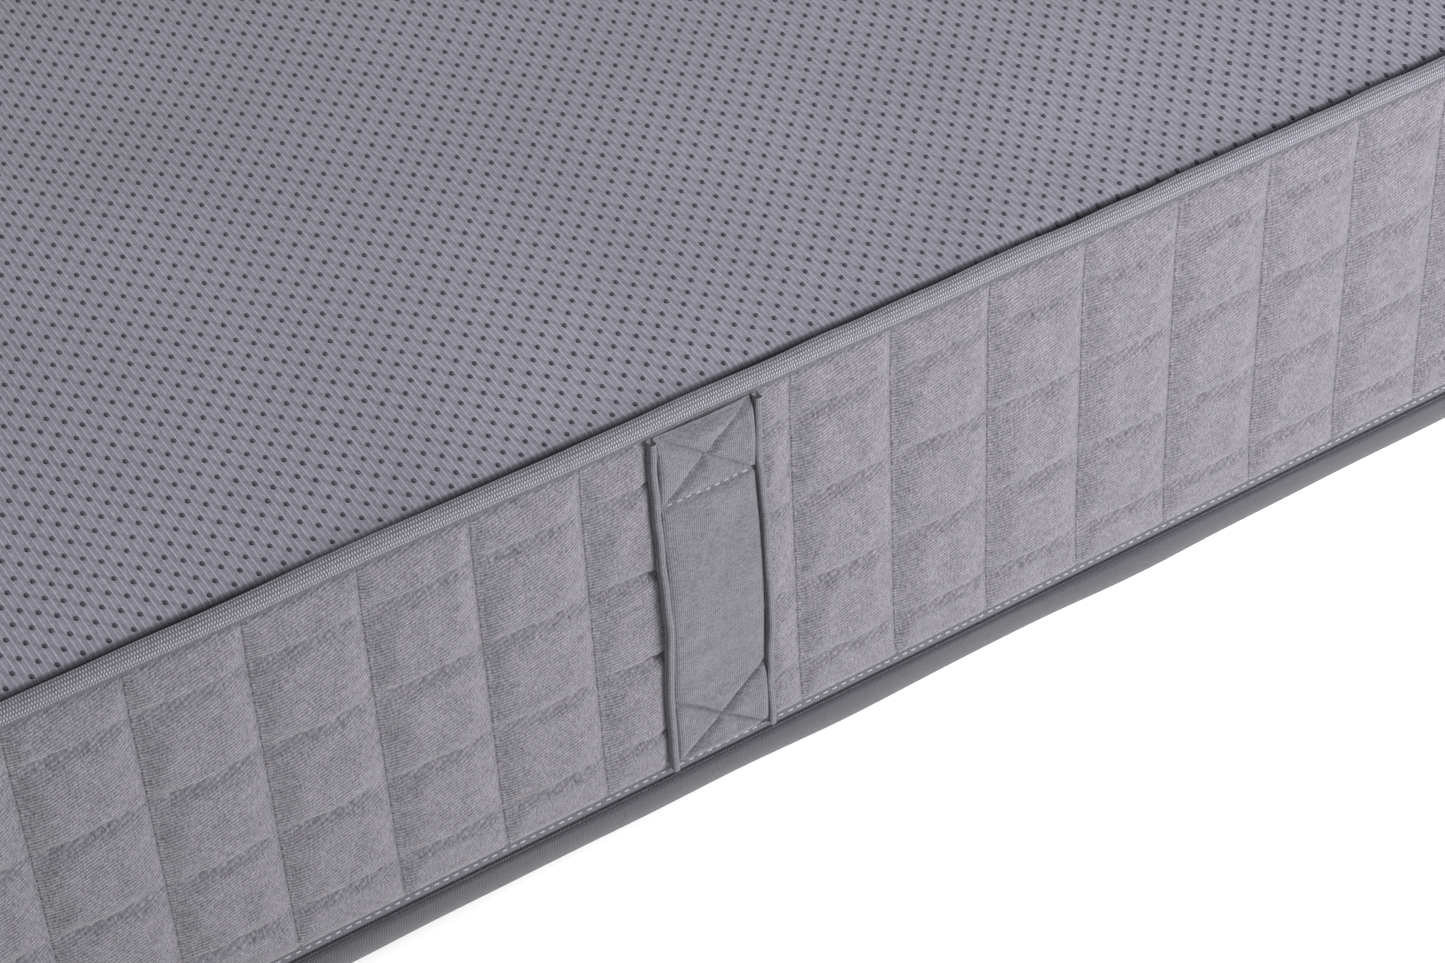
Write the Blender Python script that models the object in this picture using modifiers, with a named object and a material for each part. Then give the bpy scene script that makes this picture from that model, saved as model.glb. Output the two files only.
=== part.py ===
"""Memory foam mattress, single size, lying on its sleeping side with its anti-slip base panel up.

Every layer takes its outline from one function, so that each sits a named clearance inside the one
around it. X runs along the mattress, Y across it, and Z from the sleeping face to the base panel.
"""

import math

import bmesh
import bpy
from mathutils import Vector

# Overall size, in metres. Length and width are taken at the zip, where the mattress is widest.
LENGTH = 2.000
WIDTH = 0.900
HEIGHT = 0.240
CORNER_RADIUS = 0.060
CORNER_SEGMENTS = 8
ROLL_RADIUS = 0.038
ROLL_SEGMENTS = 5
EDGE_LEAN = 0.015
GAP = 0.0003
TINY = 1e-6

# Cloth, wadding and foam
SLEEP_CLOTH = 0.0030
BORDER_CLOTH = 0.0030
BASE_CLOTH = 0.0015
BASE_RECESS = 0.0040
WADDING = 0.0070
LINER_CLOTH = 0.0008
LINER_HEM = 0.035
LINER_MOUTH_RADIUS = 0.020
ELASTIC_WIDTH = 0.006
MEMORY_FOAM = 0.050
TRANSITION_FOAM = 0.030

# Edge tape: the binding rolled over the seam between border and base panel
TAPE_RADIUS = 0.0068

# Zip: two woven tapes, and two rows of coil with a slot between them for the slider's post
PANEL_LIP = 0.0022
ROW_HEIGHT = 0.0012
ROW_DEPTH = 0.0020
ROW_INSET = 0.0012
ROW_SLOT = 0.0013
BAND_HEIGHT = 0.0045
BAND_CLOTH = 0.0008
BAND_INSET = 0.0006
HIDDEN_TAPE_HEIGHT = 0.0120
STOP_SIZE = (0.0025, 0.0007, 0.0036)
STOP_SPACING = 0.0060

# Zip slider and its pull, which stand on the rear side
SLIDER_LENGTH = 0.0090
SLIDER_HEIGHT = 0.0080
SLIDER_WALL = 0.0012
POST_THICKNESS = 0.0005
POST_LENGTH = 0.0030
CROWN_LENGTH = 0.0072
CROWN_WIDTH = 0.0018
CROWN_WALL = 0.0009
CROWN_CLEAR = 0.0019
PULL_LENGTH = 0.0220
PULL_WIDTH = 0.0060
PULL_THICKNESS = 0.0012
PULL_WINDOW = (0.0040, 0.0034)
PULL_CORNER = 0.0025
ZIP_END_MARGIN = 0.0300

# Quilting pitch, which sets where border strips meet, and the handles
QUILT_PITCH = 1.100 / 23
SEAM_X = 23 * QUILT_PITCH / 2
HANDLE_X = 0.5435
HANDLE_WIDTH = 0.044
HANDLE_CLOTH = 0.0024
HANDLE_BOX = 0.037
HANDLE_BOW = 0.005
HANDLE_STEPS = 16
PIPING_RADIUS = 0.0022
PATCH_CLOTH = 0.0008
PATCH_MARGIN = 0.008

# Care label, sewn under the tape
LABEL_WIDTH = 0.045
LABEL_HEIGHT = 0.065
LABEL_CLOTH = 0.0004
LABEL_X = 0.200

# Levels that follow from the sizes above, from the sleeping face up
PANEL_EDGE = ROLL_RADIUS + PANEL_LIP
PANEL_ROW = PANEL_EDGE + GAP
BORDER_ROW = PANEL_ROW + ROW_HEIGHT + ROW_SLOT
BAND_LOW = BORDER_ROW + ROW_HEIGHT + GAP
BORDER_LOW = BAND_LOW + BAND_HEIGHT + GAP
SLOT_MIDDLE = PANEL_ROW + ROW_HEIGHT + ROW_SLOT / 2
BORDER_TOP = HEIGHT - 2 * TAPE_RADIUS - GAP
TAPE_LEVEL = HEIGHT - TAPE_RADIUS
BASE_TOP = HEIGHT - BASE_RECESS
LINER_TOP = BASE_TOP - BASE_CLOTH - GAP
CORE_TOP = LINER_TOP - LINER_CLOTH - GAP

# Depths inside the skin that follow, from the skin inwards
PATCH_INSET = BORDER_CLOTH + GAP
BORDER_WADDING_INSET = PATCH_INSET + PATCH_CLOTH + GAP
SLEEP_WADDING_INSET = SLEEP_CLOTH + GAP
LINER_INSET = BORDER_WADDING_INSET + WADDING + GAP
SLEEP_WADDING = LINER_INSET - GAP - SLEEP_WADDING_INSET
FOAM_INSET = LINER_INSET + LINER_CLOTH + GAP
HIDDEN_TAPE_INSET = SLEEP_CLOTH + GAP
INNER_PLATE_INSET = HIDDEN_TAPE_INSET + BAND_CLOTH + 2 * GAP
TAPE_INSET = LINER_INSET - GAP - TAPE_RADIUS
BASE_INSET = TAPE_INSET + TAPE_RADIUS + GAP

# Where the straight border strips end: on the last quilting line before the corner
STRAIGHT_END = LENGTH / 2 - CORNER_RADIUS - EDGE_LEAN
STRIP_END = SEAM_X + QUILT_PITCH * math.floor((STRAIGHT_END - SEAM_X) / QUILT_PITCH)

# Where the slider is parked, and the end stops beyond it
SLIDER_X = LENGTH / 2 - CORNER_RADIUS - ZIP_END_MARGIN - PULL_LENGTH
STOP_X = SLIDER_X + PULL_LENGTH + STOP_SPACING

for old in list(bpy.data.objects):
    bpy.data.objects.remove(old, do_unlink=True)

parts = bpy.data.collections.new("memory_foam_mattress")
cutters = bpy.data.collections.new("cutters")
for collection in (parts, cutters):
    bpy.context.scene.collection.children.link(collection)


# --- Materials ---------------------------------------------------------------------------------


def material(name, colour, roughness, metallic=0.0):
    made = bpy.data.materials.new(name)
    made.use_nodes = True
    made.diffuse_color = (*colour, 1.0)
    shader = made.node_tree.nodes["Principled BSDF"]
    shader.inputs["Base Color"].default_value = (*colour, 1.0)
    shader.inputs["Roughness"].default_value = roughness
    shader.inputs["Metallic"].default_value = metallic
    return made


BORDER_KNIT = material("border_knit", (0.33, 0.31, 0.36), 0.85)
BASE_KNIT = material("base_knit", (0.24, 0.23, 0.28), 0.85)
SLEEP_KNIT = material("sleep_knit", (0.14, 0.13, 0.16), 0.9)
TAPE_WEAVE = material("tape_weave", (0.26, 0.25, 0.30), 0.8)
ZIP_WEAVE = material("zip_weave", (0.10, 0.10, 0.12), 0.8)
COIL_PLASTIC = material("coil_plastic", (0.06, 0.06, 0.07), 0.4)
SLIDER_METAL = material("slider_metal", (0.18, 0.18, 0.20), 0.35, 1.0)
HANDLE_WEAVE = material("handle_weave", (0.25, 0.24, 0.28), 0.85)
PATCH_FELT = material("patch_felt", (0.75, 0.75, 0.75), 0.95)
WADDING_WHITE = material("wadding_white", (0.85, 0.85, 0.84), 0.95)
LINER_KNIT = material("liner_knit", (0.80, 0.80, 0.78), 0.9)
ELASTIC_WHITE = material("elastic_white", (0.82, 0.82, 0.80), 0.7)
MEMORY_WHITE = material("memory_foam", (0.86, 0.85, 0.80), 0.9)
TRANSITION_GREY = material("transition_foam", (0.55, 0.60, 0.64), 0.9)
CORE_FOAM = material("core_foam", (0.80, 0.80, 0.76), 0.9)
LABEL_SATIN = material("label_satin", (0.85, 0.85, 0.85), 0.45)


# --- Shared shapes -----------------------------------------------------------------------------


def lean(level):
    """How far the walls stand in at this level: they lean in, from the top of the roll to the tape."""
    slope = EDGE_LEAN / (BORDER_TOP - ROLL_RADIUS)
    return slope * max(0.0, level - ROLL_RADIUS)


def lean_in(bm, reach):
    """Moves what is within reach of each side in by the lean at its level, so corners keep their shape."""
    for v in bm.verts:
        inward = lean(v.co.z)
        if abs(v.co.x) > LENGTH / 2 - reach - TINY:
            v.co.x -= math.copysign(inward, v.co.x)
        if abs(v.co.y) > WIDTH / 2 - reach - TINY:
            v.co.y -= math.copysign(inward, v.co.y)


def faces_facing(bm, axis, sign, level):
    """The flat faces at a level along an axis, facing along it or against it."""
    return [
        f
        for f in bm.faces
        if f.normal[axis] * sign > 0.999 and abs(f.calc_center_median()[axis] - level) < TINY
    ]


def cover_block(inset, low, high, radius=None):
    """The mattress's outline, so far inside its skin, from one level to another.

    Its corners share the skin's centres unless they have a radius of their own. Below the top of the
    roll its lower edge is rolled as well, about the same centre as the skin's.
    """
    corner = CORNER_RADIUS - inset if radius is None else radius
    bm = bmesh.new()
    bmesh.ops.create_cube(bm, size=1.0)
    size = Vector((LENGTH - 2 * inset, WIDTH - 2 * inset, high - low))
    bmesh.ops.scale(bm, vec=size, verts=bm.verts)
    bmesh.ops.translate(bm, vec=(0, 0, (low + high) / 2), verts=bm.verts)
    upright = [e for e in bm.edges if abs(e.verts[0].co.z - e.verts[1].co.z) > TINY]
    bmesh.ops.bevel(
        bm,
        geom=upright,
        offset=corner,
        segments=CORNER_SEGMENTS,
        profile=0.5,
        affect="EDGES",
    )
    if low < ROLL_RADIUS:
        foot = [e for e in bm.edges if max(v.co.z for v in e.verts) < low + TINY]
        bmesh.ops.bevel(
            bm,
            geom=foot,
            offset=ROLL_RADIUS - low,
            segments=ROLL_SEGMENTS,
            profile=0.5,
            affect="EDGES",
        )
    lean_in(bm, inset + corner)
    bm.normal_update()
    return bm


def open_top(bm, level):
    bmesh.ops.delete(bm, geom=faces_facing(bm, 2, 1, level), context="FACES")
    return bm


def cut(bm, axis, place, keep):
    """Cuts at a plane across an axis, and keeps what lies on the positive or the negative side."""
    point = Vector((0, 0, 0))
    point[axis] = place
    normal = Vector((0, 0, 0))
    normal[axis] = keep
    bmesh.ops.bisect_plane(
        bm, geom=bm.verts[:] + bm.edges[:] + bm.faces[:], plane_co=point, plane_no=normal, clear_inner=True
    )
    return bm


def band(inset, low, high):
    """The open wall that runs right round the mattress between two levels."""
    foot = min(inset, low)
    bm = open_top(cover_block(inset, foot, high), high)
    if low > foot:
        cut(bm, 2, low, 1)
    bmesh.ops.delete(bm, geom=faces_facing(bm, 2, -1, low), context="FACES")
    return bm


def piece(name, bm, look, where=parts):
    mesh = bpy.data.meshes.new(name)
    bm.to_mesh(mesh)
    bm.free()
    mesh.materials.append(look)
    made = bpy.data.objects.new(name, mesh)
    where.objects.link(made)
    mesh.shade_smooth()
    mesh.set_sharp_from_angle(angle=math.radians(35))
    return made


def thicken(thing, thickness, side=-1.0):
    """Gives an open surface its thickness, inwards unless side is 1."""
    wall = thing.modifiers.new("thickness", "SOLIDIFY")
    wall.thickness = thickness
    wall.offset = side
    wall.use_even_offset = True
    wall.use_quality_normals = True
    return thing


def box(name, centre, size, look, where=parts):
    bm = bmesh.new()
    bmesh.ops.create_cube(bm, size=1.0)
    bmesh.ops.scale(bm, vec=size, verts=bm.verts)
    thing = piece(name, bm, look, where)
    thing.location = centre
    return thing


def boolean(thing, tool, operation):
    tool.hide_render = True
    tool.display_type = "WIRE"
    step = thing.modifiers.new(tool.name, "BOOLEAN")
    step.operation = operation
    step.object = tool
    step.solver = "EXACT"


def tube(name, points, radius, look, closed=False, resolution=2):
    """A round tube along straight runs between points."""
    path = bpy.data.curves.new(name, "CURVE")
    path.dimensions = "3D"
    path.bevel_depth = radius
    path.bevel_resolution = resolution
    path.use_fill_caps = not closed
    line = path.splines.new("POLY")
    line.points.add(len(points) - 1)
    for spot, place in zip(line.points, points):
        spot.co = (*place, 1.0)
    line.use_cyclic_u = closed
    path.materials.append(look)
    made = bpy.data.objects.new(name, path)
    parts.objects.link(made)
    return made


# --- Sleeping panel: the tray of knit and wadding that the mattress lies on ------------------------


def make_sleeping_panel():
    skin = open_top(cover_block(0.0, 0.0, PANEL_EDGE), PANEL_EDGE)
    thicken(piece("sleep_panel", skin, SLEEP_KNIT), SLEEP_CLOTH)
    pad = open_top(cover_block(SLEEP_WADDING_INSET, SLEEP_WADDING_INSET, PANEL_EDGE), PANEL_EDGE)
    cut(pad, 2, PANEL_EDGE - HIDDEN_TAPE_HEIGHT - GAP, -1)
    thicken(piece("sleep_panel_wadding", pad, WADDING_WHITE), SLEEP_WADDING)


# --- Border: two straight quilted strips and two that carry the corners, each with its wadding -----


def strip(inset, low, high, side):
    """One strip of a wall: front, rear, left or right. The straight strips end on a quilting line."""
    bm = band(inset, low, high)
    if side in ("front", "rear"):
        cut(bm, 0, STRIP_END - GAP / 2, -1)
        cut(bm, 0, -STRIP_END + GAP / 2, 1)
        return cut(bm, 1, 0.0, 1 if side == "rear" else -1)
    if side == "right":
        return cut(bm, 0, STRIP_END + GAP / 2, 1)
    return cut(bm, 0, -STRIP_END - GAP / 2, -1)


def make_border():
    for side in ("front", "rear", "left", "right"):
        cloth = strip(0.0, BORDER_LOW, BORDER_TOP, side)
        thicken(piece(f"border_{side}", cloth, BORDER_KNIT), BORDER_CLOTH)
        pad = strip(BORDER_WADDING_INSET, BORDER_LOW, BORDER_TOP, side)
        thicken(piece(f"border_wadding_{side}", pad, WADDING_WHITE), WADDING)


# --- Base panel and the edge tape round it ---------------------------------------------------------


def outline(inset):
    """The mattress's plan as points, so far inside the skin, with its corners as arcs."""
    points = []
    radius = CORNER_RADIUS - inset
    for corner, (across, along) in enumerate(((1, 1), (-1, 1), (-1, -1), (1, -1))):
        centre_x = across * (LENGTH / 2 - CORNER_RADIUS)
        centre_y = along * (WIDTH / 2 - CORNER_RADIUS)
        for step in range(CORNER_SEGMENTS + 1):
            angle = math.pi / 2 * (corner + step / CORNER_SEGMENTS)
            points.append((centre_x + radius * math.cos(angle), centre_y + radius * math.sin(angle)))
    return points


def make_base():
    piece("base_panel", cover_block(BASE_INSET, BASE_TOP - BASE_CLOTH, BASE_TOP), BASE_KNIT)
    bm = bmesh.new()
    for x, y in outline(TAPE_INSET):
        bm.verts.new((x, y, TAPE_LEVEL))
    lean_in(bm, CORNER_RADIUS)
    route = [v.co.copy() for v in bm.verts]
    bm.free()
    tube("edge_tape", route, TAPE_RADIUS, TAPE_WEAVE, closed=True, resolution=4)


# --- Zip: it runs right round between border and sleeping panel ------------------------------------


def make_zip():
    rows = (("zip_coil_panel", PANEL_ROW), ("zip_coil_border", BORDER_ROW))
    for name, low in rows:
        thicken(piece(name, band(ROW_INSET, low, low + ROW_HEIGHT), COIL_PLASTIC), ROW_DEPTH)
    shown = band(BAND_INSET, BAND_LOW, BAND_LOW + BAND_HEIGHT)
    thicken(piece("zip_tape_border", shown, ZIP_WEAVE), BAND_CLOTH)
    hidden = band(HIDDEN_TAPE_INSET, PANEL_EDGE - HIDDEN_TAPE_HEIGHT, PANEL_EDGE - GAP)
    thicken(piece("zip_tape_panel", hidden, ZIP_WEAVE), BAND_CLOTH)
    for name, place in (("zip_start_stop", STOP_X), ("zip_end_stop", STOP_X + STOP_SPACING)):
        face = WIDTH / 2 - lean(SLOT_MIDDLE) - ROW_INSET + GAP + STOP_SIZE[1] / 2
        box(name, (place, face, SLOT_MIDDLE), STOP_SIZE, SLIDER_METAL)


def make_slider():
    """Outer plate with a crown for the pull, and an inner plate on a thin post through the slot."""
    outer_face = WIDTH / 2 + GAP
    plate_middle = outer_face + SLIDER_WALL / 2
    plate = (SLIDER_LENGTH, SLIDER_WALL, SLIDER_HEIGHT)
    slider = box("zip_slider", (SLIDER_X, plate_middle, SLOT_MIDDLE), plate, SLIDER_METAL)

    def tool(name, depth, size):
        return box(name, (SLIDER_X, depth, SLOT_MIDDLE), size, SLIDER_METAL, cutters)

    plate_top = outer_face + SLIDER_WALL
    crown_height = CROWN_CLEAR + CROWN_WALL
    crown_low = plate_top - SLIDER_WALL / 2
    crown_size = (CROWN_LENGTH, plate_top + crown_height - crown_low, CROWN_WIDTH)
    boolean(slider, tool("crown", crown_low + crown_size[1] / 2, crown_size), "UNION")
    tunnel_size = (CROWN_LENGTH - 2 * CROWN_WALL, CROWN_CLEAR, 2 * CROWN_WIDTH)
    boolean(slider, tool("crown_tunnel", plate_top + CROWN_CLEAR / 2, tunnel_size), "DIFFERENCE")
    inner_face = WIDTH / 2 - lean(BAND_LOW) - INNER_PLATE_INSET
    post_size = (POST_LENGTH, plate_middle - inner_face + SLIDER_WALL / 2, POST_THICKNESS)
    boolean(slider, tool("post", plate_middle - post_size[1] / 2, post_size), "UNION")
    inner_height = 2 * (PANEL_LIP + ROW_HEIGHT)
    inner_size = (SLIDER_LENGTH, SLIDER_WALL, inner_height)
    boolean(slider, tool("inner_plate", inner_face - SLIDER_WALL / 2, inner_size), "UNION")
    return plate_top + CROWN_CLEAR / 2


def make_pull(hinge_depth):
    """A flat tab that lies along the zip. Its end bar passes under the crown, and is its hinge."""
    bm = bmesh.new()
    bmesh.ops.create_cube(bm, size=1.0)
    bmesh.ops.scale(bm, vec=(PULL_LENGTH, PULL_THICKNESS, PULL_WIDTH), verts=bm.verts)
    bmesh.ops.translate(bm, vec=(PULL_LENGTH / 2 - PULL_THICKNESS / 2, 0, 0), verts=bm.verts)
    far = [e for e in bm.edges if min(v.co.x for v in e.verts) > PULL_LENGTH / 2]
    corners = [e for e in far if abs(e.verts[0].co.y - e.verts[1].co.y) > TINY]
    bmesh.ops.bevel(bm, geom=corners, offset=PULL_CORNER, segments=4, profile=0.5, affect="EDGES")
    pull = piece("zip_pull", bm, SLIDER_METAL)
    pull.location = (SLIDER_X, hinge_depth, SLOT_MIDDLE)
    long, wide = PULL_WINDOW
    middle = SLIDER_X + PULL_THICKNESS / 2 + long / 2
    size = (long, 2 * PULL_THICKNESS, wide)
    window = box("pull_window", (middle, hinge_depth, SLOT_MIDDLE), size, SLIDER_METAL, cutters)
    boolean(pull, window, "DIFFERENCE")


# --- Handles: a strap that is sewn down at both ends and bows out between, with piped edges -------


def bow(level):
    """How far a handle stands off the border at this level."""
    low = BORDER_LOW + HANDLE_BOX
    high = BORDER_TOP - HANDLE_BOX
    share = min(1.0, max(0.0, (level - low) / (high - low)))
    return HANDLE_BOW * math.sin(math.pi * share) ** 2


def handle_point(x, level, off):
    """A point so far off the front border, on the handle's curve."""
    return Vector((x, -(WIDTH / 2 - lean(level) + off + bow(level)), level))


def handle_levels():
    low = BORDER_LOW + GAP
    high = BORDER_TOP - GAP
    return [low + (high - low) * i / HANDLE_STEPS for i in range(HANDLE_STEPS + 1)]


def sheet_on_border(width, low, high, steps, place):
    """A sheet one face wide that stands against the front border, where the function puts its points."""
    bm = bmesh.new()
    bmesh.ops.create_grid(bm, x_segments=1, y_segments=steps, size=0.5)
    for v in bm.verts:
        v.co = place(v.co.x * width, low + (v.co.y + 0.5) * (high - low))
    bm.normal_update()
    return bm


def make_handle(name, x, turn):
    """One handle, made at the front and turned about Z for the rear side."""
    levels = handle_levels()
    cloth = sheet_on_border(
        HANDLE_WIDTH, levels[0], levels[-1], HANDLE_STEPS, lambda at, level: handle_point(at, level, GAP)
    )
    strap = thicken(piece(f"{name}_strap", cloth, HANDLE_WEAVE), HANDLE_CLOTH, side=1.0)
    beads = []
    for edge, sign in (("left", -1), ("right", 1)):
        aside = sign * (HANDLE_WIDTH / 2 + GAP + PIPING_RADIUS)
        route = [handle_point(aside, level, GAP + PIPING_RADIUS) for level in levels]
        beads.append(tube(f"{name}_piping_{edge}", route, PIPING_RADIUS, HANDLE_WEAVE))
    patch_width = HANDLE_WIDTH + 2 * PATCH_MARGIN

    def on_patch(at, level):
        return Vector((at, -(WIDTH / 2 - lean(level) - PATCH_INSET), level))

    felt = sheet_on_border(patch_width, BORDER_LOW, BORDER_TOP, 1, on_patch)
    patch = thicken(piece(f"{name}_patch", felt, PATCH_FELT), PATCH_CLOTH)
    for thing in (strap, patch, *beads):
        thing.location.x = x
        thing.rotation_euler.z = turn


def make_handles():
    for side, turn in (("front", 0.0), ("rear", math.pi)):
        for end, x in (("left", -HANDLE_X), ("right", HANDLE_X)):
            make_handle(f"handle_{side}_{end}", x, turn)


def make_label():
    """A blank label that hangs from the tape seam on the rear side."""

    def on_border(at, level):
        return Vector((at, -(WIDTH / 2 - lean(level) + GAP), level))

    low = BORDER_TOP - LABEL_HEIGHT
    cloth = sheet_on_border(LABEL_WIDTH, low, BORDER_TOP - GAP, 1, on_border)
    label = thicken(piece("care_label", cloth, LABEL_SATIN), LABEL_CLOTH, side=1.0)
    label.location.x = LABEL_X
    label.rotation_euler.z = math.pi


# --- Inside: the liner with its elastic hem, and three layers of foam ------------------------------


def make_liner():
    """A sock open over most of the core's top, with a flat elastic just inside its mouth."""
    liner = piece("inner_liner", cover_block(LINER_INSET, LINER_INSET, LINER_TOP), LINER_KNIT)
    thicken(liner, LINER_CLOTH)
    low = LINER_TOP - LINER_CLOTH
    mouth = cover_block(LINER_INSET + LINER_HEM, low - GAP, LINER_TOP + GAP, LINER_MOUTH_RADIUS)
    boolean(liner, piece("liner_mouth", mouth, LINER_KNIT, cutters), "DIFFERENCE")

    outer = LINER_INSET + LINER_HEM + GAP
    inner = outer + ELASTIC_WIDTH
    ring = cover_block(outer, low, LINER_TOP, LINER_MOUTH_RADIUS - GAP)
    elastic = piece("liner_elastic", ring, ELASTIC_WHITE)
    hole = cover_block(inner, low - GAP, LINER_TOP + GAP, LINER_MOUTH_RADIUS - GAP - ELASTIC_WIDTH)
    boolean(elastic, piece("elastic_hole", hole, ELASTIC_WHITE, cutters), "DIFFERENCE")


def make_foam():
    layers = (
        ("memory_foam_layer", MEMORY_FOAM, MEMORY_WHITE),
        ("transition_foam_layer", TRANSITION_FOAM, TRANSITION_GREY),
    )
    low = FOAM_INSET
    for name, thickness, look in layers:
        piece(name, cover_block(FOAM_INSET, low, low + thickness), look)
        low += thickness + GAP
    piece("support_foam_core", cover_block(FOAM_INSET, low, CORE_TOP), CORE_FOAM)


make_sleeping_panel()
make_border()
make_base()
make_zip()
make_pull(make_slider())
make_handles()
make_label()
make_liner()
make_foam()
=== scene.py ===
import math

import bmesh
import bpy
import numpy as np
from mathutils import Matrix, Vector


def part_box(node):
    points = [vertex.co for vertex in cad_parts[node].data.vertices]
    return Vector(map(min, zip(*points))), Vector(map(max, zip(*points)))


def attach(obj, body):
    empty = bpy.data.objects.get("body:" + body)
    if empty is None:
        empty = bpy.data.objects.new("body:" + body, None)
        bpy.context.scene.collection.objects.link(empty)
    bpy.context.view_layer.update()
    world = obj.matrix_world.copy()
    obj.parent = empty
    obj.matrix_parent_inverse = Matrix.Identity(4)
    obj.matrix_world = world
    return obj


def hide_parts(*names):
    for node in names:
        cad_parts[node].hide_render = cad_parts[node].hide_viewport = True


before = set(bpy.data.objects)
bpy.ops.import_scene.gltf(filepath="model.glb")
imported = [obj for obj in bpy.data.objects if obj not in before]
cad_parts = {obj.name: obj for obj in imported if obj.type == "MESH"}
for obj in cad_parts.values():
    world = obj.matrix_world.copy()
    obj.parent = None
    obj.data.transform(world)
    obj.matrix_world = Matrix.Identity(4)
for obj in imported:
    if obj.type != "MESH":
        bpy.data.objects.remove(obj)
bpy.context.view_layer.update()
MATTRESS = "mattress"

# %% [markdown]
# ## Where the camera, the floor and the lights stand
# A cloth only shows its relief when the light crosses it, and a ring of equal lights would flatten the
# quilting. So a small light stands low in front, a broad one fills from above, and three more reach the
# rear and the ends. The pale floor glows a little, so that it stays white and lights the lower sides, and
# the sky looks white but gives less light than that.
# %% Camera
AIM = Vector((-0.554, -0.467, 0.226))
CAMERA_REACH = Vector((-0.512, -0.797, 0.973))
LENS_MM = 89.5


def put(name, data):
    """Puts new data into the scene as an object."""
    thing = bpy.data.objects.new(name, data)
    bpy.context.scene.collection.objects.link(thing)
    return thing


def aim(thing, place, towards):
    """Places a camera or a light and turns it towards a point."""
    thing.location = place
    thing.rotation_euler = (Vector(towards) - Vector(place)).to_track_quat("-Z", "Y").to_euler()


camera_data = bpy.data.cameras.new("camera")
camera_data.lens = LENS_MM
camera_data.sensor_width = 36.0
camera_data.clip_end = 60.0
camera = put("camera", camera_data)
aim(camera, AIM + CAMERA_REACH, AIM)
bpy.context.scene.camera = camera
print("camera", round(CAMERA_REACH.length, 3), "m from the handle's top")

# %% Floor, sky and lights
FLOOR_SIZE = 14.0
FLOOR_DROP = 0.0004
SKY_LIGHT = 0.32
FLOOR_GLOW = 0.42


def soft_light(name, place, towards, size, watts, tint=(1.0, 1.0, 1.0)):
    lamp = bpy.data.lights.new(name, "AREA")
    lamp.shape = "RECTANGLE"
    lamp.size, lamp.size_y = size
    lamp.energy = watts
    lamp.color = tint
    aim(put(name, lamp), place, towards)


bpy.ops.object.select_all(action="DESELECT")
bpy.ops.mesh.primitive_plane_add(size=FLOOR_SIZE, location=(0, 0, -FLOOR_DROP))
floor = bpy.context.object
floor.name = "floor"
floor_look = bpy.data.materials.new("floor_white")
floor_look.use_nodes = True
floor_shader = floor_look.node_tree.nodes["Principled BSDF"].inputs
floor_shader["Base Color"].default_value = (0.8, 0.8, 0.8, 1)
floor_shader["Roughness"].default_value = 0.9
floor_shader["Emission Color"].default_value = (1, 1, 1, 1)
floor_shader["Emission Strength"].default_value = FLOOR_GLOW
floor.data.materials.append(floor_look)

soft_light("key", (-0.1, -1.25, 0.45), (-0.35, -0.48, 0.08), (0.5, 0.35), 11.5, (1.0, 0.99, 1.0))
soft_light("fill", (-0.1, -1.7, 2.2), (-0.5, -0.2, 0.2), (1.2, 1.2), 22, (0.98, 0.99, 1.0))
soft_light("rear", (0.3, 2.6, 1.5), (0.0, 0.4, 0.1), (1.5, 1.0), 30)
for name, side in (("left", -1), ("right", 1)):
    soft_light(name, (2.7 * side, 0.5, 1.3), (0.9 * side, 0.1, 0.1), (1.2, 1.0), 11)

world = bpy.data.worlds.new("studio")
world.use_nodes = True
world_nodes, world_links = world.node_tree.nodes, world.node_tree.links
sky = world_nodes["Background"]
sky.inputs["Color"].default_value = (1.0, 1.0, 1.0, 1)
seen_or_lit = world_nodes.new("ShaderNodeMapRange")
seen_or_lit.inputs["To Min"].default_value = SKY_LIGHT
seen_or_lit.inputs["To Max"].default_value = 1.0
world_links.new(world_nodes.new("ShaderNodeLightPath").outputs[0], seen_or_lit.inputs[0])
world_links.new(seen_or_lit.outputs[0], sky.inputs["Strength"])
bpy.context.scene.world = world
bpy.context.scene.view_settings.view_transform = "Standard"

# %% [markdown]
# ## Sizes that the pieces share
# Every cloth follows the mattress's outline, so one function gives a point on the skin: how far round
# the outline, at which level, and how far off the skin. The outline is a rectangle with round corners,
# and its walls lean in from the top of the sleeping panel's roll up to the edge tape.
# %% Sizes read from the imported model
panel_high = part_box("sleep_panel")[1]
tape_low, tape_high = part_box("edge_tape")
border_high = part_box("border_front")[1]
base_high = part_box("base_panel")[1]
HALF_LENGTH = panel_high[0]
HALF_WIDTH = panel_high[1]
TAPE_RADIUS = (tape_high[2] - tape_low[2]) / 2
TAPE_LEVEL = (tape_high[2] + tape_low[2]) / 2
BASE_TOP = base_high[2]
STRIP_END = border_high[0]
CORNER_RADIUS = 0.060
ROLL_RADIUS = 0.038
TAPE_DEPTH = 0.0046
LEAN = (HALF_LENGTH - TAPE_DEPTH + TAPE_RADIUS - tape_high[0]) / (TAPE_LEVEL - ROLL_RADIUS)
QUILT_COLUMNS = 37
QUILT_PITCH = 2 * STRIP_END / QUILT_COLUMNS
STRIP_GAP = 0.0003
EDGE_X = HALF_LENGTH - CORNER_RADIUS
EDGE_Y = HALF_WIDTH - CORNER_RADIUS
ARC = math.pi / 2 * CORNER_RADIUS
QUARTER = EDGE_X + ARC + EDGE_Y
HALF_ROUND = 2 * QUARTER
ROUND = 4 * QUARTER
print(f"round the outline {ROUND:.3f} m, lean {LEAN:.4f}, quilting pitch {QUILT_PITCH * 1000:.2f} mm")


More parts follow.
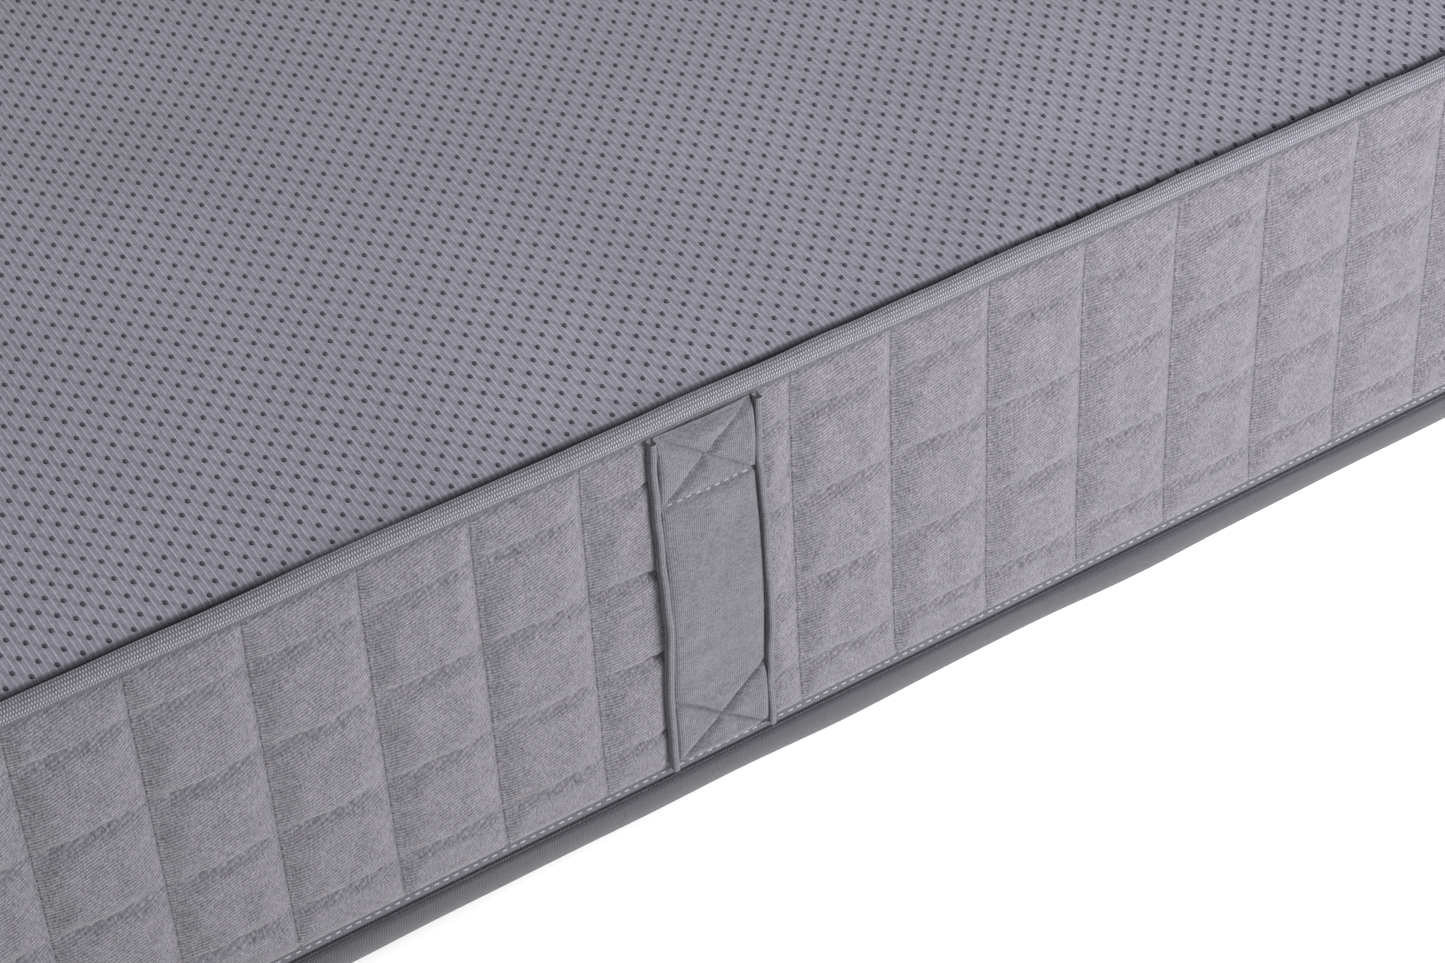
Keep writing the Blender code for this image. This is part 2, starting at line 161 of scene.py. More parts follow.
# %% A point on the skin
def on_wall(run, level, out=0.0):
    """Points this far round from the front's middle, at this level, this far off the skin."""
    run, level, out = np.broadcast_arrays(*(np.asarray(a, float) for a in (run, level, out)))
    run = np.mod(run, ROUND)
    quarter = np.minimum((run / QUARTER).astype(int), 3)
    along = run - quarter * QUARTER
    along = np.where(quarter % 2 == 1, QUARTER - along, along)
    turn = np.clip((along - EDGE_X) / CORNER_RADIUS, 0, math.pi / 2)
    on_end = np.maximum(along - EDGE_X - ARC, 0)
    base_x = np.minimum(along, EDGE_X)
    base_y = EDGE_Y - on_end
    past_strip = np.clip((base_x - STRIP_END) / (EDGE_X - STRIP_END), 0, 1)
    inward = LEAN * np.maximum(level - ROLL_RADIUS, 0)
    x = base_x - inward * past_strip + np.sin(turn) * (CORNER_RADIUS + out)
    y = base_y - inward * base_y / EDGE_Y + np.cos(turn) * (CORNER_RADIUS + out)
    to_right = np.where(quarter < 2, 1.0, -1.0)
    to_rear = np.where((quarter == 0) | (quarter == 3), -1.0, 1.0)
    return np.stack([x * to_right, y * to_rear, level], -1)


def runs_round(step, corner_steps=10):
    """Places round the outline: even steps along each side, and even steps round each corner."""
    half_long = np.linspace(0, EDGE_X, round(EDGE_X / step) + 1)[:-1]
    corner = np.linspace(EDGE_X, EDGE_X + ARC, corner_steps + 1)[:-1]
    half_end = np.linspace(EDGE_X + ARC, QUARTER, round(EDGE_Y / step) + 1)[:-1]
    first = np.concatenate([half_long, corner, half_end])
    mirrored = (HALF_ROUND - first[::-1]) % HALF_ROUND
    half = np.concatenate([first, [QUARTER], mirrored[:-1]])
    return np.concatenate([half, half + HALF_ROUND])


print("skin at the front's middle", on_wall(0.0, 0.1).round(4))

# %% [markdown]
# ## Meshes for cloth
# A woven or knitted part is a grid: one way runs along the cloth and the other across it. Numpy lays the
# grid out in one go, and the same grid gives the UV map in metres, so a weave keeps its scale round
# corners. Padded parts get a plain back and a rim, so that they are closed.
# %% Grids
def crossing(first, second):
    """Two grids that together hold every pair of the two lists' values."""
    return np.meshgrid(first, second, indexing="ij")


def lattice(first, second):
    """Every pair of the two lists' values, as one grid of places."""
    return np.stack(crossing(first, second), -1)


def set_uv(mesh, values):
    layer = mesh.uv_layers.new(name="cloth")
    layer.data.foreach_set("uv", np.asarray(values, np.float32).ravel())


def smooth(mesh):
    mesh.polygons.foreach_set("use_smooth", np.ones(len(mesh.polygons), bool))
    mesh.update()


def grid_mesh(name, points, uv, round_u=False, round_v=False, ends=False):
    """Quads through points[u][v]. uv has one more row or column where the grid closes on itself."""
    count_u, count_v = points.shape[:2]
    u, v = crossing(np.arange(count_u - (not round_u)), np.arange(count_v - (not round_v)))
    corners = ((u, v), (u + 1, v), (u + 1, v + 1), (u, v + 1))
    faces = np.stack([(a % count_u) * count_v + b % count_v for a, b in corners], -1).reshape(-1, 4).tolist()
    loops = np.stack([uv[a, b] for a, b in corners], 2).reshape(-1, 2)
    if ends:
        last = (count_u - 1) * count_v
        faces.append(list(range(count_v))[::-1])
        faces.append([last + i for i in range(count_v)])
        loops = np.concatenate([loops, uv[0, :count_v][::-1], uv[count_u - 1, :count_v]])
    mesh = bpy.data.meshes.new(name)
    mesh.from_pydata(points.reshape(-1, 3).tolist(), [], faces)
    set_uv(mesh, loops)
    smooth(mesh)
    return mesh


def slab_mesh(name, front, back, uv):
    """A padded sheet: a fine front, a plain back, and a rim that joins their edges."""
    count_u, count_v = front.shape[:2]
    index = np.arange(count_u * count_v).reshape(count_u, count_v)
    rim = [(i, 0) for i in range(count_u)]
    rim += [(count_u - 1, j) for j in range(1, count_v)]
    rim += [(i, count_v - 1) for i in range(count_u - 2, -1, -1)]
    rim += [(0, j) for j in range(count_v - 2, 0, -1)]
    behind = {place: count_u * count_v + n for n, place in enumerate(rim)}
    faces = np.stack([index[:-1, :-1], index[1:, :-1], index[1:, 1:], index[:-1, 1:]], -1)
    faces = faces.reshape(-1, 4).tolist()
    for here, there in zip(rim, rim[1:] + rim[:1]):
        faces.append([int(index[there]), int(index[here]), behind[here], behind[there]])
    top = count_v - 1
    for i in range(count_u - 1):
        left = [(i, j) for j in range(count_v)] if i == 0 else [(i, 0), (i, top)]
        last = i == count_u - 2
        right = [(i + 1, j) for j in range(top, -1, -1)] if last else [(i + 1, top), (i + 1, 0)]
        faces.append([behind[place] for place in left + right])
    mesh = bpy.data.meshes.new(name)
    vertices, flat_uv = (
        np.concatenate([fine.reshape(-1, fine.shape[-1]), [plain[place] for place in rim]])
        for fine, plain in ((front, back), (uv, uv))
    )
    mesh.from_pydata(vertices.tolist(), [], faces)
    set_uv(mesh, flat_uv[np.concatenate(faces)])
    smooth(mesh)
    return mesh


def add_piece(name, mesh, look, stands_for=()):
    """Puts a finished mesh on the mattress, in place of the plain solids that it stands for."""
    made = put(name, mesh)
    mesh.materials.append(look)
    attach(made, MATTRESS)
    if stands_for:
        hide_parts(*stands_for)
    mesh.calc_loop_triangles()
    print(f"{name}: {len(mesh.loop_triangles)} triangles")
    return made


def new_modifier(thing, kind):
    """Selects one thing alone and gives it a modifier."""
    bpy.ops.object.select_all(action="DESELECT")
    thing.select_set(True)
    bpy.context.view_layer.objects.active = thing
    bpy.ops.object.modifier_add(type=kind)
    return thing.modifiers[-1]


def give_wall(thing, thickness):
    """Turns a cloth's face into a wall, inwards from the face."""
    wall = new_modifier(thing, "SOLIDIFY")
    wall.thickness = thickness
    wall.offset = -1.0
    bpy.ops.object.modifier_apply(modifier=wall.name)


print("mesh helpers ready")

# %% [markdown]
# ## Writing a finish as sums
# A finish is a web of nodes, and a web is hard to read as code. Here a socket is wrapped in a small class
# that knows + - * / and the like, so a pattern reads as the sum that it is, and each sum adds its own
# Math node.
# %% Sockets that can be added and multiplied
class Wire:
    """A number that changes over a surface."""

    def __init__(self, finish, socket):
        self.finish = finish
        self.socket = socket

    def __abs__(self):
        return self.finish.maths("ABSOLUTE", self)


def teach(sign, operation):
    """Gives the class one sign, for a wire on either side of it."""
    setattr(Wire, f"__{sign}__", lambda self, other: self.finish.maths(operation, self, other))
    setattr(Wire, f"__r{sign}__", lambda self, other: self.finish.maths(operation, other, self))


SIGNS = {"add": "ADD", "sub": "SUBTRACT", "mul": "MULTIPLY", "truediv": "DIVIDE", "mod": "FLOORED_MODULO"}
for sign, operation in SIGNS.items():
    teach(sign, operation)


class Finish:
    """A material in the making, with its shader and the sums that feed it."""

    def __init__(self, name, roughness, sheen=0.0, metallic=0.0):
        self.material = bpy.data.materials.new(name)
        self.material.use_nodes = True
        self.nodes = self.material.node_tree.nodes
        self.links = self.material.node_tree.links
        self.shader = self.nodes["Principled BSDF"].inputs
        self.shader["Roughness"].default_value = roughness
        self.shader["Metallic"].default_value = metallic
        self.shader["Sheen Weight"].default_value = sheen
        self.shader["Sheen Roughness"].default_value = 0.5
        self.shader["Specular IOR Level"].default_value = 0.3

    def add(self, kind, settings=None, values=None, output=0):
        """One node: its type, its settings, and the values or wires of its sockets."""
        node = self.nodes.new(kind)
        for key, value in (settings or {}).items():
            setattr(node, key, value)
        for key, value in (values or {}).items():
            if isinstance(value, Wire):
                self.links.new(value.socket, node.inputs[key])
            else:
                node.inputs[key].default_value = value
        return Wire(self, node.outputs[output])

    def maths(self, operation, *values, clamp=False):
        settings = {"operation": operation, "use_clamp": clamp}
        return self.add("ShaderNodeMath", settings, dict(enumerate(values)))

    def split(self, vector):
        outputs = self.add("ShaderNodeSeparateXYZ", values={0: vector}).socket.node.outputs
        return [Wire(self, output) for output in outputs]

    def along_and_across(self):
        """The cloth's own two ways, in metres, from its UV map."""
        return self.split(self.add("ShaderNodeUVMap", {"uv_map": "cloth"}))[:2]

    def spot(self):
        """The place on the mattress, in metres."""
        return self.add("ShaderNodeTexCoord", output=3)

    def place(self):
        return self.split(self.spot())

    def cloud(self, vector, scale=1.0, detail=2.0, roughness=0.5):
        """Soft random light and dark, from 0 to 1 about 0.5, over a wire or two or three sums."""
        if isinstance(vector, tuple):
            vector = self.add("ShaderNodeCombineXYZ", values=dict(enumerate(vector)))
        values = {"Vector": vector, "Scale": scale, "Detail": detail, "Roughness": roughness}
        return self.add("ShaderNodeTexNoise", values=values)

    def wave(self, place, pitch):
        """A smooth ripple from 0 to 1, one for each pitch."""
        return 0.5 + 0.5 * self.maths("COSINE", place * (2 * math.pi / pitch))

    def fade(self, off):
        """1 where off is 0, fading to 0 where it reaches 1."""
        return self.maths("SUBTRACT", 1.0, off, clamp=True)

    def near(self, place, pitch, reach):
        """1 on the lines that lie a pitch apart, from 0, fading to 0 within reach of them."""
        return self.fade(abs((place / pitch + 0.5) % 1.0 - 0.5) * (pitch / reach))

    def band(self, place, low, high, soft):
        """1 between two places, fading to 0 outside them."""
        up = self.maths("DIVIDE", place - (low - soft), soft, clamp=True)
        down = self.maths("DIVIDE", (high + soft) - place, soft, clamp=True)
        return up * down

    def mix(self, share, one, other):
        """A colour that goes from one to the other as share goes from 0 to 1."""
        one = one if isinstance(one, Wire) else (*one, 1)
        other = other if isinstance(other, Wire) else (*other, 1)
        return self.add(
            "ShaderNodeMix", {"data_type": "RGBA", "clamp_factor": True}, {0: share, 6: one, 7: other}, 2
        )

    def done(self, colour, height, depth, roughness=None):
        """Joins what was made to the shader. depth is how far the relief stands, in metres."""
        bump = self.add("ShaderNodeBump", values={"Strength": 1.0, "Distance": depth, "Height": height})
        for wire, socket in ((colour, "Base Color"), (roughness, "Roughness"), (bump, "Normal")):
            if wire:
                self.links.new(wire.socket, self.shader[socket])
        return self.material


def speckled(name, scale, detail, dark, light, depth, **shader):
    """A finish of fine specks, the same in every direction."""
    finish = Finish(name, **shader)
    specks = finish.cloud(finish.spot(), scale=scale, detail=detail)
    return finish.done(finish.mix(specks, dark, light), specks, depth)


print("finish helpers ready")

# %% [markdown]
# ## The quilted border
# The side wall is a knit over wadding, sewn through in squares. The upright seams are pulled tight and
# the level ones less, so each square swells between them like a small pillow. Pillows drawn with a sine
# all look the same and too round. Here the strip is laid out flat, its seams are pinned at their depth,
# and Blender's Cloth blows it up with a little spare cloth in each square, so that it settles into soft,
# slightly different pillows. One flat strip is simulated, and every side takes its squares from it.
# %% Where the seams are
CELLS_ACROSS = 18
BORDER_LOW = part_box("border_right")[0][2] + 0.0003
BORDER_TUCK = 0.0030
BORDER_HIGH = border_high[2] + BORDER_TUCK
BORDER_HEIGHT = BORDER_HIGH - BORDER_LOW
SEAM_LEVELS = (0.0704, 0.1149, 0.1613, 0.2065)
SEAM_DEPTH = 0.0025
LEVEL_SEAM_DEPTH = 0.0011
EDGE_DEPTH = 0.0004
PILLOW_RISE = 0.0038
FLATTEN = 0.85
EDGE_RISE = 0.0004
EDGE_REACH = 0.024
BACK_DEPTH = 0.0041
row_edges = [0.0, *(level - BORDER_LOW for level in SEAM_LEVELS), BORDER_HEIGHT]
ROW_STEP = 0.0026
row_heights = [high - low for low, high in zip(row_edges, row_edges[1:])]
row_cells = [max(4, round(height / ROW_STEP)) for height in row_heights]
print("rows of squares", [round(height * 1000, 1) for height in row_heights], "mm")


# %% Lay the flat strip out and let it swell
def flat_strip():
    """The strip before it swells: places along and across, depths, and which points the seams hold."""
    along = np.linspace(0, QUILT_COLUMNS * QUILT_PITCH, QUILT_COLUMNS * CELLS_ACROSS + 1)
    across = [np.linspace(a, b, n + 1)[:-1] for a, b, n in zip(row_edges, row_edges[1:], row_cells)]
    across = np.concatenate([*across, [BORDER_HEIGHT]])
    u, v = crossing(along, across)
    row = np.clip(np.searchsorted(row_edges, v, side="right") - 1, 0, len(row_cells) - 1)
    low = np.array(row_edges)[row]
    high = np.array(row_edges)[row + 1]
    bulge_u = np.sin(np.pi * (u / QUILT_PITCH % 1.0)) ** 0.6
    bulge_v = np.sin(np.pi * np.clip((v - low) / (high - low), 0, 1)) ** 0.5
    to_edge = np.clip(np.minimum(v, BORDER_HEIGHT - v) / EDGE_REACH, 0, 1)
    seam = EDGE_DEPTH + (SEAM_DEPTH - EDGE_DEPTH) * to_edge**0.6
    w = PILLOW_RISE * 1.3 * bulge_u * (0.35 + 0.65 * bulge_v) - seam * (1 - 0.6 * bulge_u)
    seam_column = np.arange(len(along)) % CELLS_ACROSS == 0
    seam_rows = np.cumsum([0, *row_cells])
    held = np.zeros(u.shape, bool)
    depths = [EDGE_DEPTH, *[LEVEL_SEAM_DEPTH] * len(SEAM_LEVELS), EDGE_DEPTH]
    for line, depth in zip(seam_rows, depths):
        held[:, line] = True
        sag = 1 - np.sin(np.pi * (along / QUILT_PITCH % 1.0)) ** 0.3
        w[:, line] = -depth - (seam[:, line] - depth) * sag
    w[seam_column] = -seam[seam_column]
    held[seam_column] = True
    return np.stack([u, v, w], -1), held, row


def ruffle(u, v, size, seed):
    """Smooth uneven ground of height about 1, with bumps of about this size."""
    draw = np.random.default_rng(seed)
    total = np.zeros(np.broadcast(u, v).shape)
    for _ in range(14):
        angle = draw.uniform(0, 2 * math.pi)
        length = size * draw.uniform(0.7, 2.2)
        phase = draw.uniform(0, 2 * math.pi)
        total += np.sin((u * math.cos(angle) + v * math.sin(angle)) * 2 * math.pi / length + phase)
    return total / math.sqrt(14 / 2)


SWELLING = {
    "quality": 5, "mass": 0.15, "bending_stiffness": 3.0, "use_pressure": True,
    "uniform_pressure_force": 20.0, "use_pressure_volume": True, "target_volume": 0.0,
    "vertex_group_mass": "seams", "vertex_group_shrink": "spare", "shrink_min": -0.006, "shrink_max": -0.022,
}
SWELLING_FRAMES = 8
SPARE_STEPS = 6
LIMIT_REACH = 0.0008


def swell(points, held, row):
    """Blows the strip up with Cloth, pinned at its seams, and returns where its points end up."""
    points = points.copy()
    points[..., 2] += np.where(held, 0, 0.00025 * ruffle(points[..., 0], points[..., 1], 0.011, 5))
    strip = put("flat_strip", grid_mesh("flat_strip", points, points[..., :2]))
    index = np.arange(held.size).reshape(held.shape)
    strip.vertex_groups.new(name="seams").add(index[held].tolist(), 1.0, "REPLACE")
    spare = strip.vertex_groups.new(name="spare")
    column = np.minimum(np.arange(held.shape[0]) // CELLS_ACROSS, QUILT_COLUMNS - 1)
    shares = np.random.default_rng(11).integers(0, SPARE_STEPS, (QUILT_COLUMNS, len(row_cells)))
    share = shares[column[:, None], row]
    for level in range(SPARE_STEPS):
        spare.add(index[share == level].tolist(), level / (SPARE_STEPS - 1), "REPLACE")
    cloth = new_modifier(strip, "CLOTH")
    for key, value in SWELLING.items():
        setattr(cloth.settings, key, value)
    cloth.settings.effector_weights.gravity = 0.0
    cloth.collision_settings.use_collision = False
    cloth.point_cache.frame_start = 1
    cloth.point_cache.frame_end = 20
    for number in range(1, SWELLING_FRAMES + 1):
        bpy.context.scene.frame_set(number)
    bpy.ops.object.modifier_apply(modifier=cloth.name)
    settled = np.empty(held.size * 3)
    strip.data.vertices.foreach_get("co", settled)
    bpy.context.scene.frame_set(1)
    bpy.data.objects.remove(strip)
    return settled.reshape(*held.shape, 3)


def swollen_strip():
    """The flat strip as sewn, with its pillows kept within their greatest rise."""
    points, held, row = flat_strip()
    flat = points[..., :2].copy()
    points = swell(points, held, row)
    to_edge = np.minimum(points[..., 1], BORDER_HEIGHT - points[..., 1])
    limit = EDGE_RISE + (PILLOW_RISE - EDGE_RISE) * np.clip(to_edge / EDGE_REACH, 0, 1) ** 0.7
    rise = points[..., 2]
    soft = limit - 0.25 * limit * np.exp(-np.maximum(limit - rise, 0) / LIMIT_REACH)
    points[..., 2] = FLATTEN * np.clip(rise, -SEAM_DEPTH, soft)
    return points, flat


quilt, quilt_flat = swollen_strip()
print(f"pillows rise {quilt[..., 2].max() * 1000:.1f} mm, mean {quilt[..., 2].mean() * 1000:.2f} mm")

# %% [markdown]
# ### The border's finish
# The knit is a heathered grey: short pale and dark fibres run upright through it, and a fine twill line
# crosses them. The seams show as a thin dark line with a thread that comes up at every stitch. All of it
# reads the cloth's own UV map, in metres, so it turns the corners with the cloth.
# %% Border knit
STITCH_PITCH = 0.0047
TWILL_PITCH = 0.0016


def knit_ground(finish, u, v, dark, light, streak=1.0):
    """Heathered knit: upright fibre streaks over broad, faint clouds. Returns the colour and the fibre."""
    fibre = finish.cloud((u * 1100, v * 300), detail=3.0, roughness=0.65)
    broad = finish.cloud((u * 130, v * 60, 3.0))
    speck = finish.cloud((u * 1500, v * 1200, 7.0), detail=1.0)
    share = 0.5 + (fibre - 0.5) * (1.9 * streak) + (broad - 0.5) * (0.45 * streak) + (speck - 0.5) * 1.5
    return finish.mix(share, dark, light), fibre


def border_knit():
    finish = Finish("border_knit", roughness=0.92, sheen=0.25)
    u, v = finish.along_and_across()
    colour, fibre = knit_ground(finish, u, v, (0.054, 0.05, 0.06), (0.258, 0.245, 0.277))
    twill = finish.wave(v * 0.97 - u * 0.25, TWILL_PITCH)
    upright = finish.near(u, QUILT_PITCH, 0.0007)
    stitch = finish.near(v, STITCH_PITCH, 0.0012)
    level = 0.0
    for line in row_edges[1:-1]:
        level = finish.fade(abs(v - line) / 0.0006) + level
    level_stitch = finish.near(u, STITCH_PITCH, 0.0013)
    colour = finish.mix(twill * 0.42, colour, (0.065, 0.061, 0.073))
    colour = finish.mix(upright * (0.4 + 0.5 * stitch), colour, (0.045, 0.041, 0.05))
    colour = finish.mix(level * (0.1 + 0.1 * level_stitch), colour, (0.07, 0.066, 0.078))
    height = fibre * 0.3 + twill * 0.7 - upright * (0.6 + 0.9 * stitch) - level * (0.3 + 0.2 * level_stitch)
    return finish.done(colour, height, 0.00035)


BORDER_KNIT = border_knit()
print("border knit", len(BORDER_KNIT.node_tree.nodes), "nodes")

# %% [markdown]
# ### Where the handles press the quilting
# A handle is sewn down through the wadding, so the pillows can't swell under its two boxes, and behind
# the free part of the strap they can only swell as far as the strap lets them.
# %% Handle sizes, and pressed pillows
LOWER_BOX = 0.037
UPPER_BOX = 0.036
HANDLE_BOW = 0.003
EASE = 0.014
HANDLE_WIDTH = 0.044
HANDLE_CLOTH = 0.0024
BEAD_RADIUS = 0.0022
HANDLE_GAP = 0.0003
strap_low, strap_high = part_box("handle_front_right_strap")
HANDLE_X = (strap_low[0] + strap_high[0]) / 2
BOX_FOOT = BORDER_LOW + LOWER_BOX
BOX_HEAD = BORDER_HIGH - UPPER_BOX


def bow(level):
    """How far the strap stands off the border at this level."""
    share = np.clip((level - BOX_FOOT + EASE) / (BOX_HEAD - BOX_FOOT + 2 * EASE), 0, 1)
    return HANDLE_BOW * np.sin(np.pi * share) ** 2


def pressed(run, level, rise):
    """Keeps the pillows behind the handles, and lets them rise again beside the beads."""
    across = on_wall(run, level)[..., 0]
    beside = np.abs(np.abs(across) - HANDLE_X) - (HANDLE_WIDTH / 2 + 2 * BEAD_RADIUS)
    limit = bow(level) + HANDLE_GAP / 2 + 0.9 * np.maximum(beside, 0)
    return np.minimum(rise, limit)


print("strap between its boxes", round((BOX_HEAD - BOX_FOOT) * 1000, 1), "mm")

# %% [markdown]
# ### Four strips of border
# Two straight strips run along the sides, and two shorter ones carry the corners and the ends. The
# straight ones are the flat strip bent on to the leaning wall. An end takes columns from further along the
# same strip, a little narrower, so that they come out whole, and all four dip into a seam where they meet.
# %% Border strips
END_COLUMNS = 23
RIGHT_FROM = 6
LEFT_FROM = 12


def border_strip(side, start, stop, columns, first):
    """Bends some columns of the quilted strip on to the wall between two places round the outline."""
    cells = slice(first * CELLS_ACROSS, (first + columns) * CELLS_ACROSS + 1)
    part, flat = quilt[cells], quilt_flat[cells]

    def run_of(place):
        return start + (place - first * QUILT_PITCH) / (columns * QUILT_PITCH) * (stop - start)

    run, level = run_of(part[..., 0]), BORDER_LOW + part[..., 1]
    front = on_wall(run, level, pressed(run, level, part[..., 2]))
    back = on_wall(run_of(flat[..., 0]), BORDER_LOW + flat[..., 1], -BACK_DEPTH)
    name = f"quilted_{side}"
    made = add_piece(name, slab_mesh(name, front, back, flat), BORDER_KNIT, [f"border_{side}"])


end_start = STRIP_END + STRIP_GAP
end_stop = HALF_ROUND - end_start
border_strip("front", -STRIP_END, STRIP_END, QUILT_COLUMNS, 0)
border_strip("rear", HALF_ROUND - STRIP_END, HALF_ROUND + STRIP_END, QUILT_COLUMNS, 0)
border_strip("right", end_start, end_stop, END_COLUMNS, RIGHT_FROM)
border_strip("left", HALF_ROUND + end_start, HALF_ROUND + end_stop, END_COLUMNS, LEFT_FROM)

# %% [markdown]
# ## The base panel
# The underside is a thin ribbed cloth, stretched over the foam. It isn't quite flat: it lies in low, wide
# waves, and it dips where its edge is sewn in beside the tape. A cloth simulation would only give those
# waves back, so they are a few crossing sine waves, and the same function lifts the grip dots with it.
# %% The panel's level
BASE_TUCK = 0.0064
BASE_INSET = TAPE_DEPTH + TAPE_RADIUS + 0.0003 - BASE_TUCK
BASE_CORNER = CORNER_RADIUS - BASE_INSET
BASE_HALF = (base_high[0] + BASE_TUCK, base_high[1] + BASE_TUCK)
BASE_DIP = 0.0022
DIP_REACH = 0.0016
WAVE_HEIGHT = 0.00042
BASE_LIFT = 0.0008


def from_edge(x, y):
    """How far a place on the base panel is from the panel's edge."""
    over_x = np.abs(x) - (BASE_HALF[0] - BASE_CORNER)
    over_y = np.abs(y) - (BASE_HALF[1] - BASE_CORNER)
    outside = np.hypot(np.maximum(over_x, 0), np.maximum(over_y, 0))
    return BASE_CORNER - outside - np.minimum(np.maximum(over_x, over_y), 0)


def base_level(x, y):
    edge = np.maximum(from_edge(x, y), 0)
    calm = 1 - np.exp(-edge / 0.006)
    near_edge = np.exp(-edge / 0.09)
    waves = ruffle(x, y, 0.13, 21) + near_edge * 0.9 * ruffle(x, y, 0.055, 22)
    dip = (BASE_LIFT + BASE_DIP) * np.exp(-((edge / DIP_REACH) ** 2))
    return BASE_TOP + BASE_LIFT - dip + WAVE_HEIGHT * waves * calm


print("level at the panel's middle", round(float(base_level(0.0, 0.0)), 5))

# %% [markdown]
# ### Plates with round corners
# Both big panels are plates: a grid in the middle, and rings that run round it to the edge. The rings
# close to a point at each corner's centre, so the doubles there are merged. One helper makes both.
# %% Rings and a middle
PLATE_STEP = 0.012


def plate_mesh(name, rings, level_at, underside=False):
    """Rings of points from the inner rectangle to the edge, with a grid inside the first ring.

    Each ring is how far off the skin it lies and its level, or None for the level of the ground there.
    """
    runs = runs_round(PLATE_STEP)
    points = []
    for out, level in rings if underside else rings[::-1]:
        ring = on_wall(runs, BASE_TOP if level is None else level, out)
        if level is None:
            ring[:, 2] = level_at(ring[:, 0], ring[:, 1])
        points.append(ring)
    points = np.stack(points, 1)
    gaps = np.linalg.norm(np.diff(points, axis=1), axis=2).mean(0)
    uv = lattice(np.append(runs, ROUND), np.cumsum([0, *gaps]))
    mesh = grid_mesh(name, points, uv, round_u=True)
    inner = points[:, 0 if underside else -1]
    x, y = crossing(*(np.unique(inner[:, axis].round(6)) for axis in (0, 1)))
    level = inner[0, 2] if underside else level_at(x, y)
    middle = np.stack([x, y, np.broadcast_to(level, x.shape)], -1)
    if underside:
        middle = middle[::-1]
    middle_mesh = grid_mesh(f"{name}_middle", middle, middle[..., :2])
    both = bmesh.new()
    both.from_mesh(mesh)
    both.from_mesh(middle_mesh)
    bpy.data.meshes.remove(middle_mesh)
    bmesh.ops.remove_doubles(both, verts=both.verts, dist=2e-5)
    both.to_mesh(mesh)
    both.free()
    smooth(mesh)
    return mesh


print("points in each ring", len(runs_round(PLATE_STEP)))

# %% [markdown]
# ### The base panel's finish
# Thin pale ribs run across the mattress, four to each repeat of the dots, and a fine ladder of crossing
# threads lies between them. The pattern reads Object coordinates, because the panel is flat and the ribs
# keep one direction over its whole face. Near the panel's edge the colour is darkened as painted shade,
# which stands in for the shadow in the groove beside the tape.
# %% Base knit and panel
DOT_REPEAT_X = 0.010116
DOT_REPEAT_Y = 0.010402
DOT_START = (-0.63146, -0.36634)
DOT_TURN = 0.0063
RIB_PITCH = DOT_REPEAT_X / 4
LADDER_PITCH = 0.00082
# How far in from the panel's edge the painted shade of the groove reaches.
GROOVE_SHADE_REACH = 0.0026
BASE_CLOTH = 0.0011


def base_knit():
    finish = Finish("base_knit", roughness=0.88, sheen=0.15)
    x, y, _ = finish.place()
    from_x, from_y = x - DOT_START[0], y - DOT_START[1]
    across = from_x * math.cos(DOT_TURN) + from_y * math.sin(DOT_TURN)
    along = from_y * math.cos(DOT_TURN) - from_x * math.sin(DOT_TURN)
    rib = finish.near(across + RIB_PITCH / 2, RIB_PITCH, 0.0006)
    ladder = finish.wave(along, LADDER_PITCH)
    stagger = finish.wave(across, RIB_PITCH * 2)
    threads = finish.cloud((across * 900, along * 420), detail=2.0, roughness=0.6)
    broad = finish.cloud((x * 9, y * 9), detail=3.0)
    share = 0.24 + (threads - 0.5) * 1.0 + (broad - 0.5) * 0.25 + rib * (0.5 + 0.3 * ladder)
    share = share + (1.0 - rib) * (ladder * 0.22 - 0.08) + (stagger - 0.5) * 0.08
    colour = finish.mix(share, (0.165, 0.161, 0.198), (0.39, 0.384, 0.447))
    # Painted shade: the colour darkens towards the panel's edge, in place of the groove's shadow beside the
    # tape.
    over_x = finish.maths("MAXIMUM", abs(x) - (BASE_HALF[0] - BASE_CORNER), 0.0)
    over_y = finish.maths("MAXIMUM", abs(y) - (BASE_HALF[1] - BASE_CORNER), 0.0)
    edge = BASE_CORNER - finish.maths("SQRT", over_x * over_x + over_y * over_y)
    groove_shade = finish.maths("SUBTRACT", 1.5, edge / GROOVE_SHADE_REACH, clamp=True)
    colour = finish.mix(groove_shade, colour, (0.022, 0.021, 0.027))
    height = rib * 0.8 + ladder * 0.25 + threads * 0.3
    return finish.done(colour, height, 0.00022)


EDGE_RINGS = (BASE_CORNER, 0.030, 0.020, 0.013, 0.0085, 0.0056, 0.0038, 0.0024, 0.0012, 0.0)
base_mesh = plate_mesh("ribbed_base_panel", [(-BASE_INSET - d, None) for d in EDGE_RINGS], base_level)
base_panel = add_piece("ribbed_base_panel", base_mesh, base_knit(), ["base_panel"])
give_wall(base_panel, BASE_CLOTH)

# %% [markdown]
# ## Grip dots
# Thousands of small domes of soft plastic are printed on the base cloth, so that the mattress doesn't
# slide. A bump would vanish at the edge of the light, so each dot is a real low dome. One is modelled with
# few faces, because it is repeated so often, and its points are then added to every place in the pattern.
# %% One dot
DOT_RADIUS = 0.00104
DOT_HEIGHT = 0.0009
DOT_SUNK = 0.0003
DOT_PIECES = 6


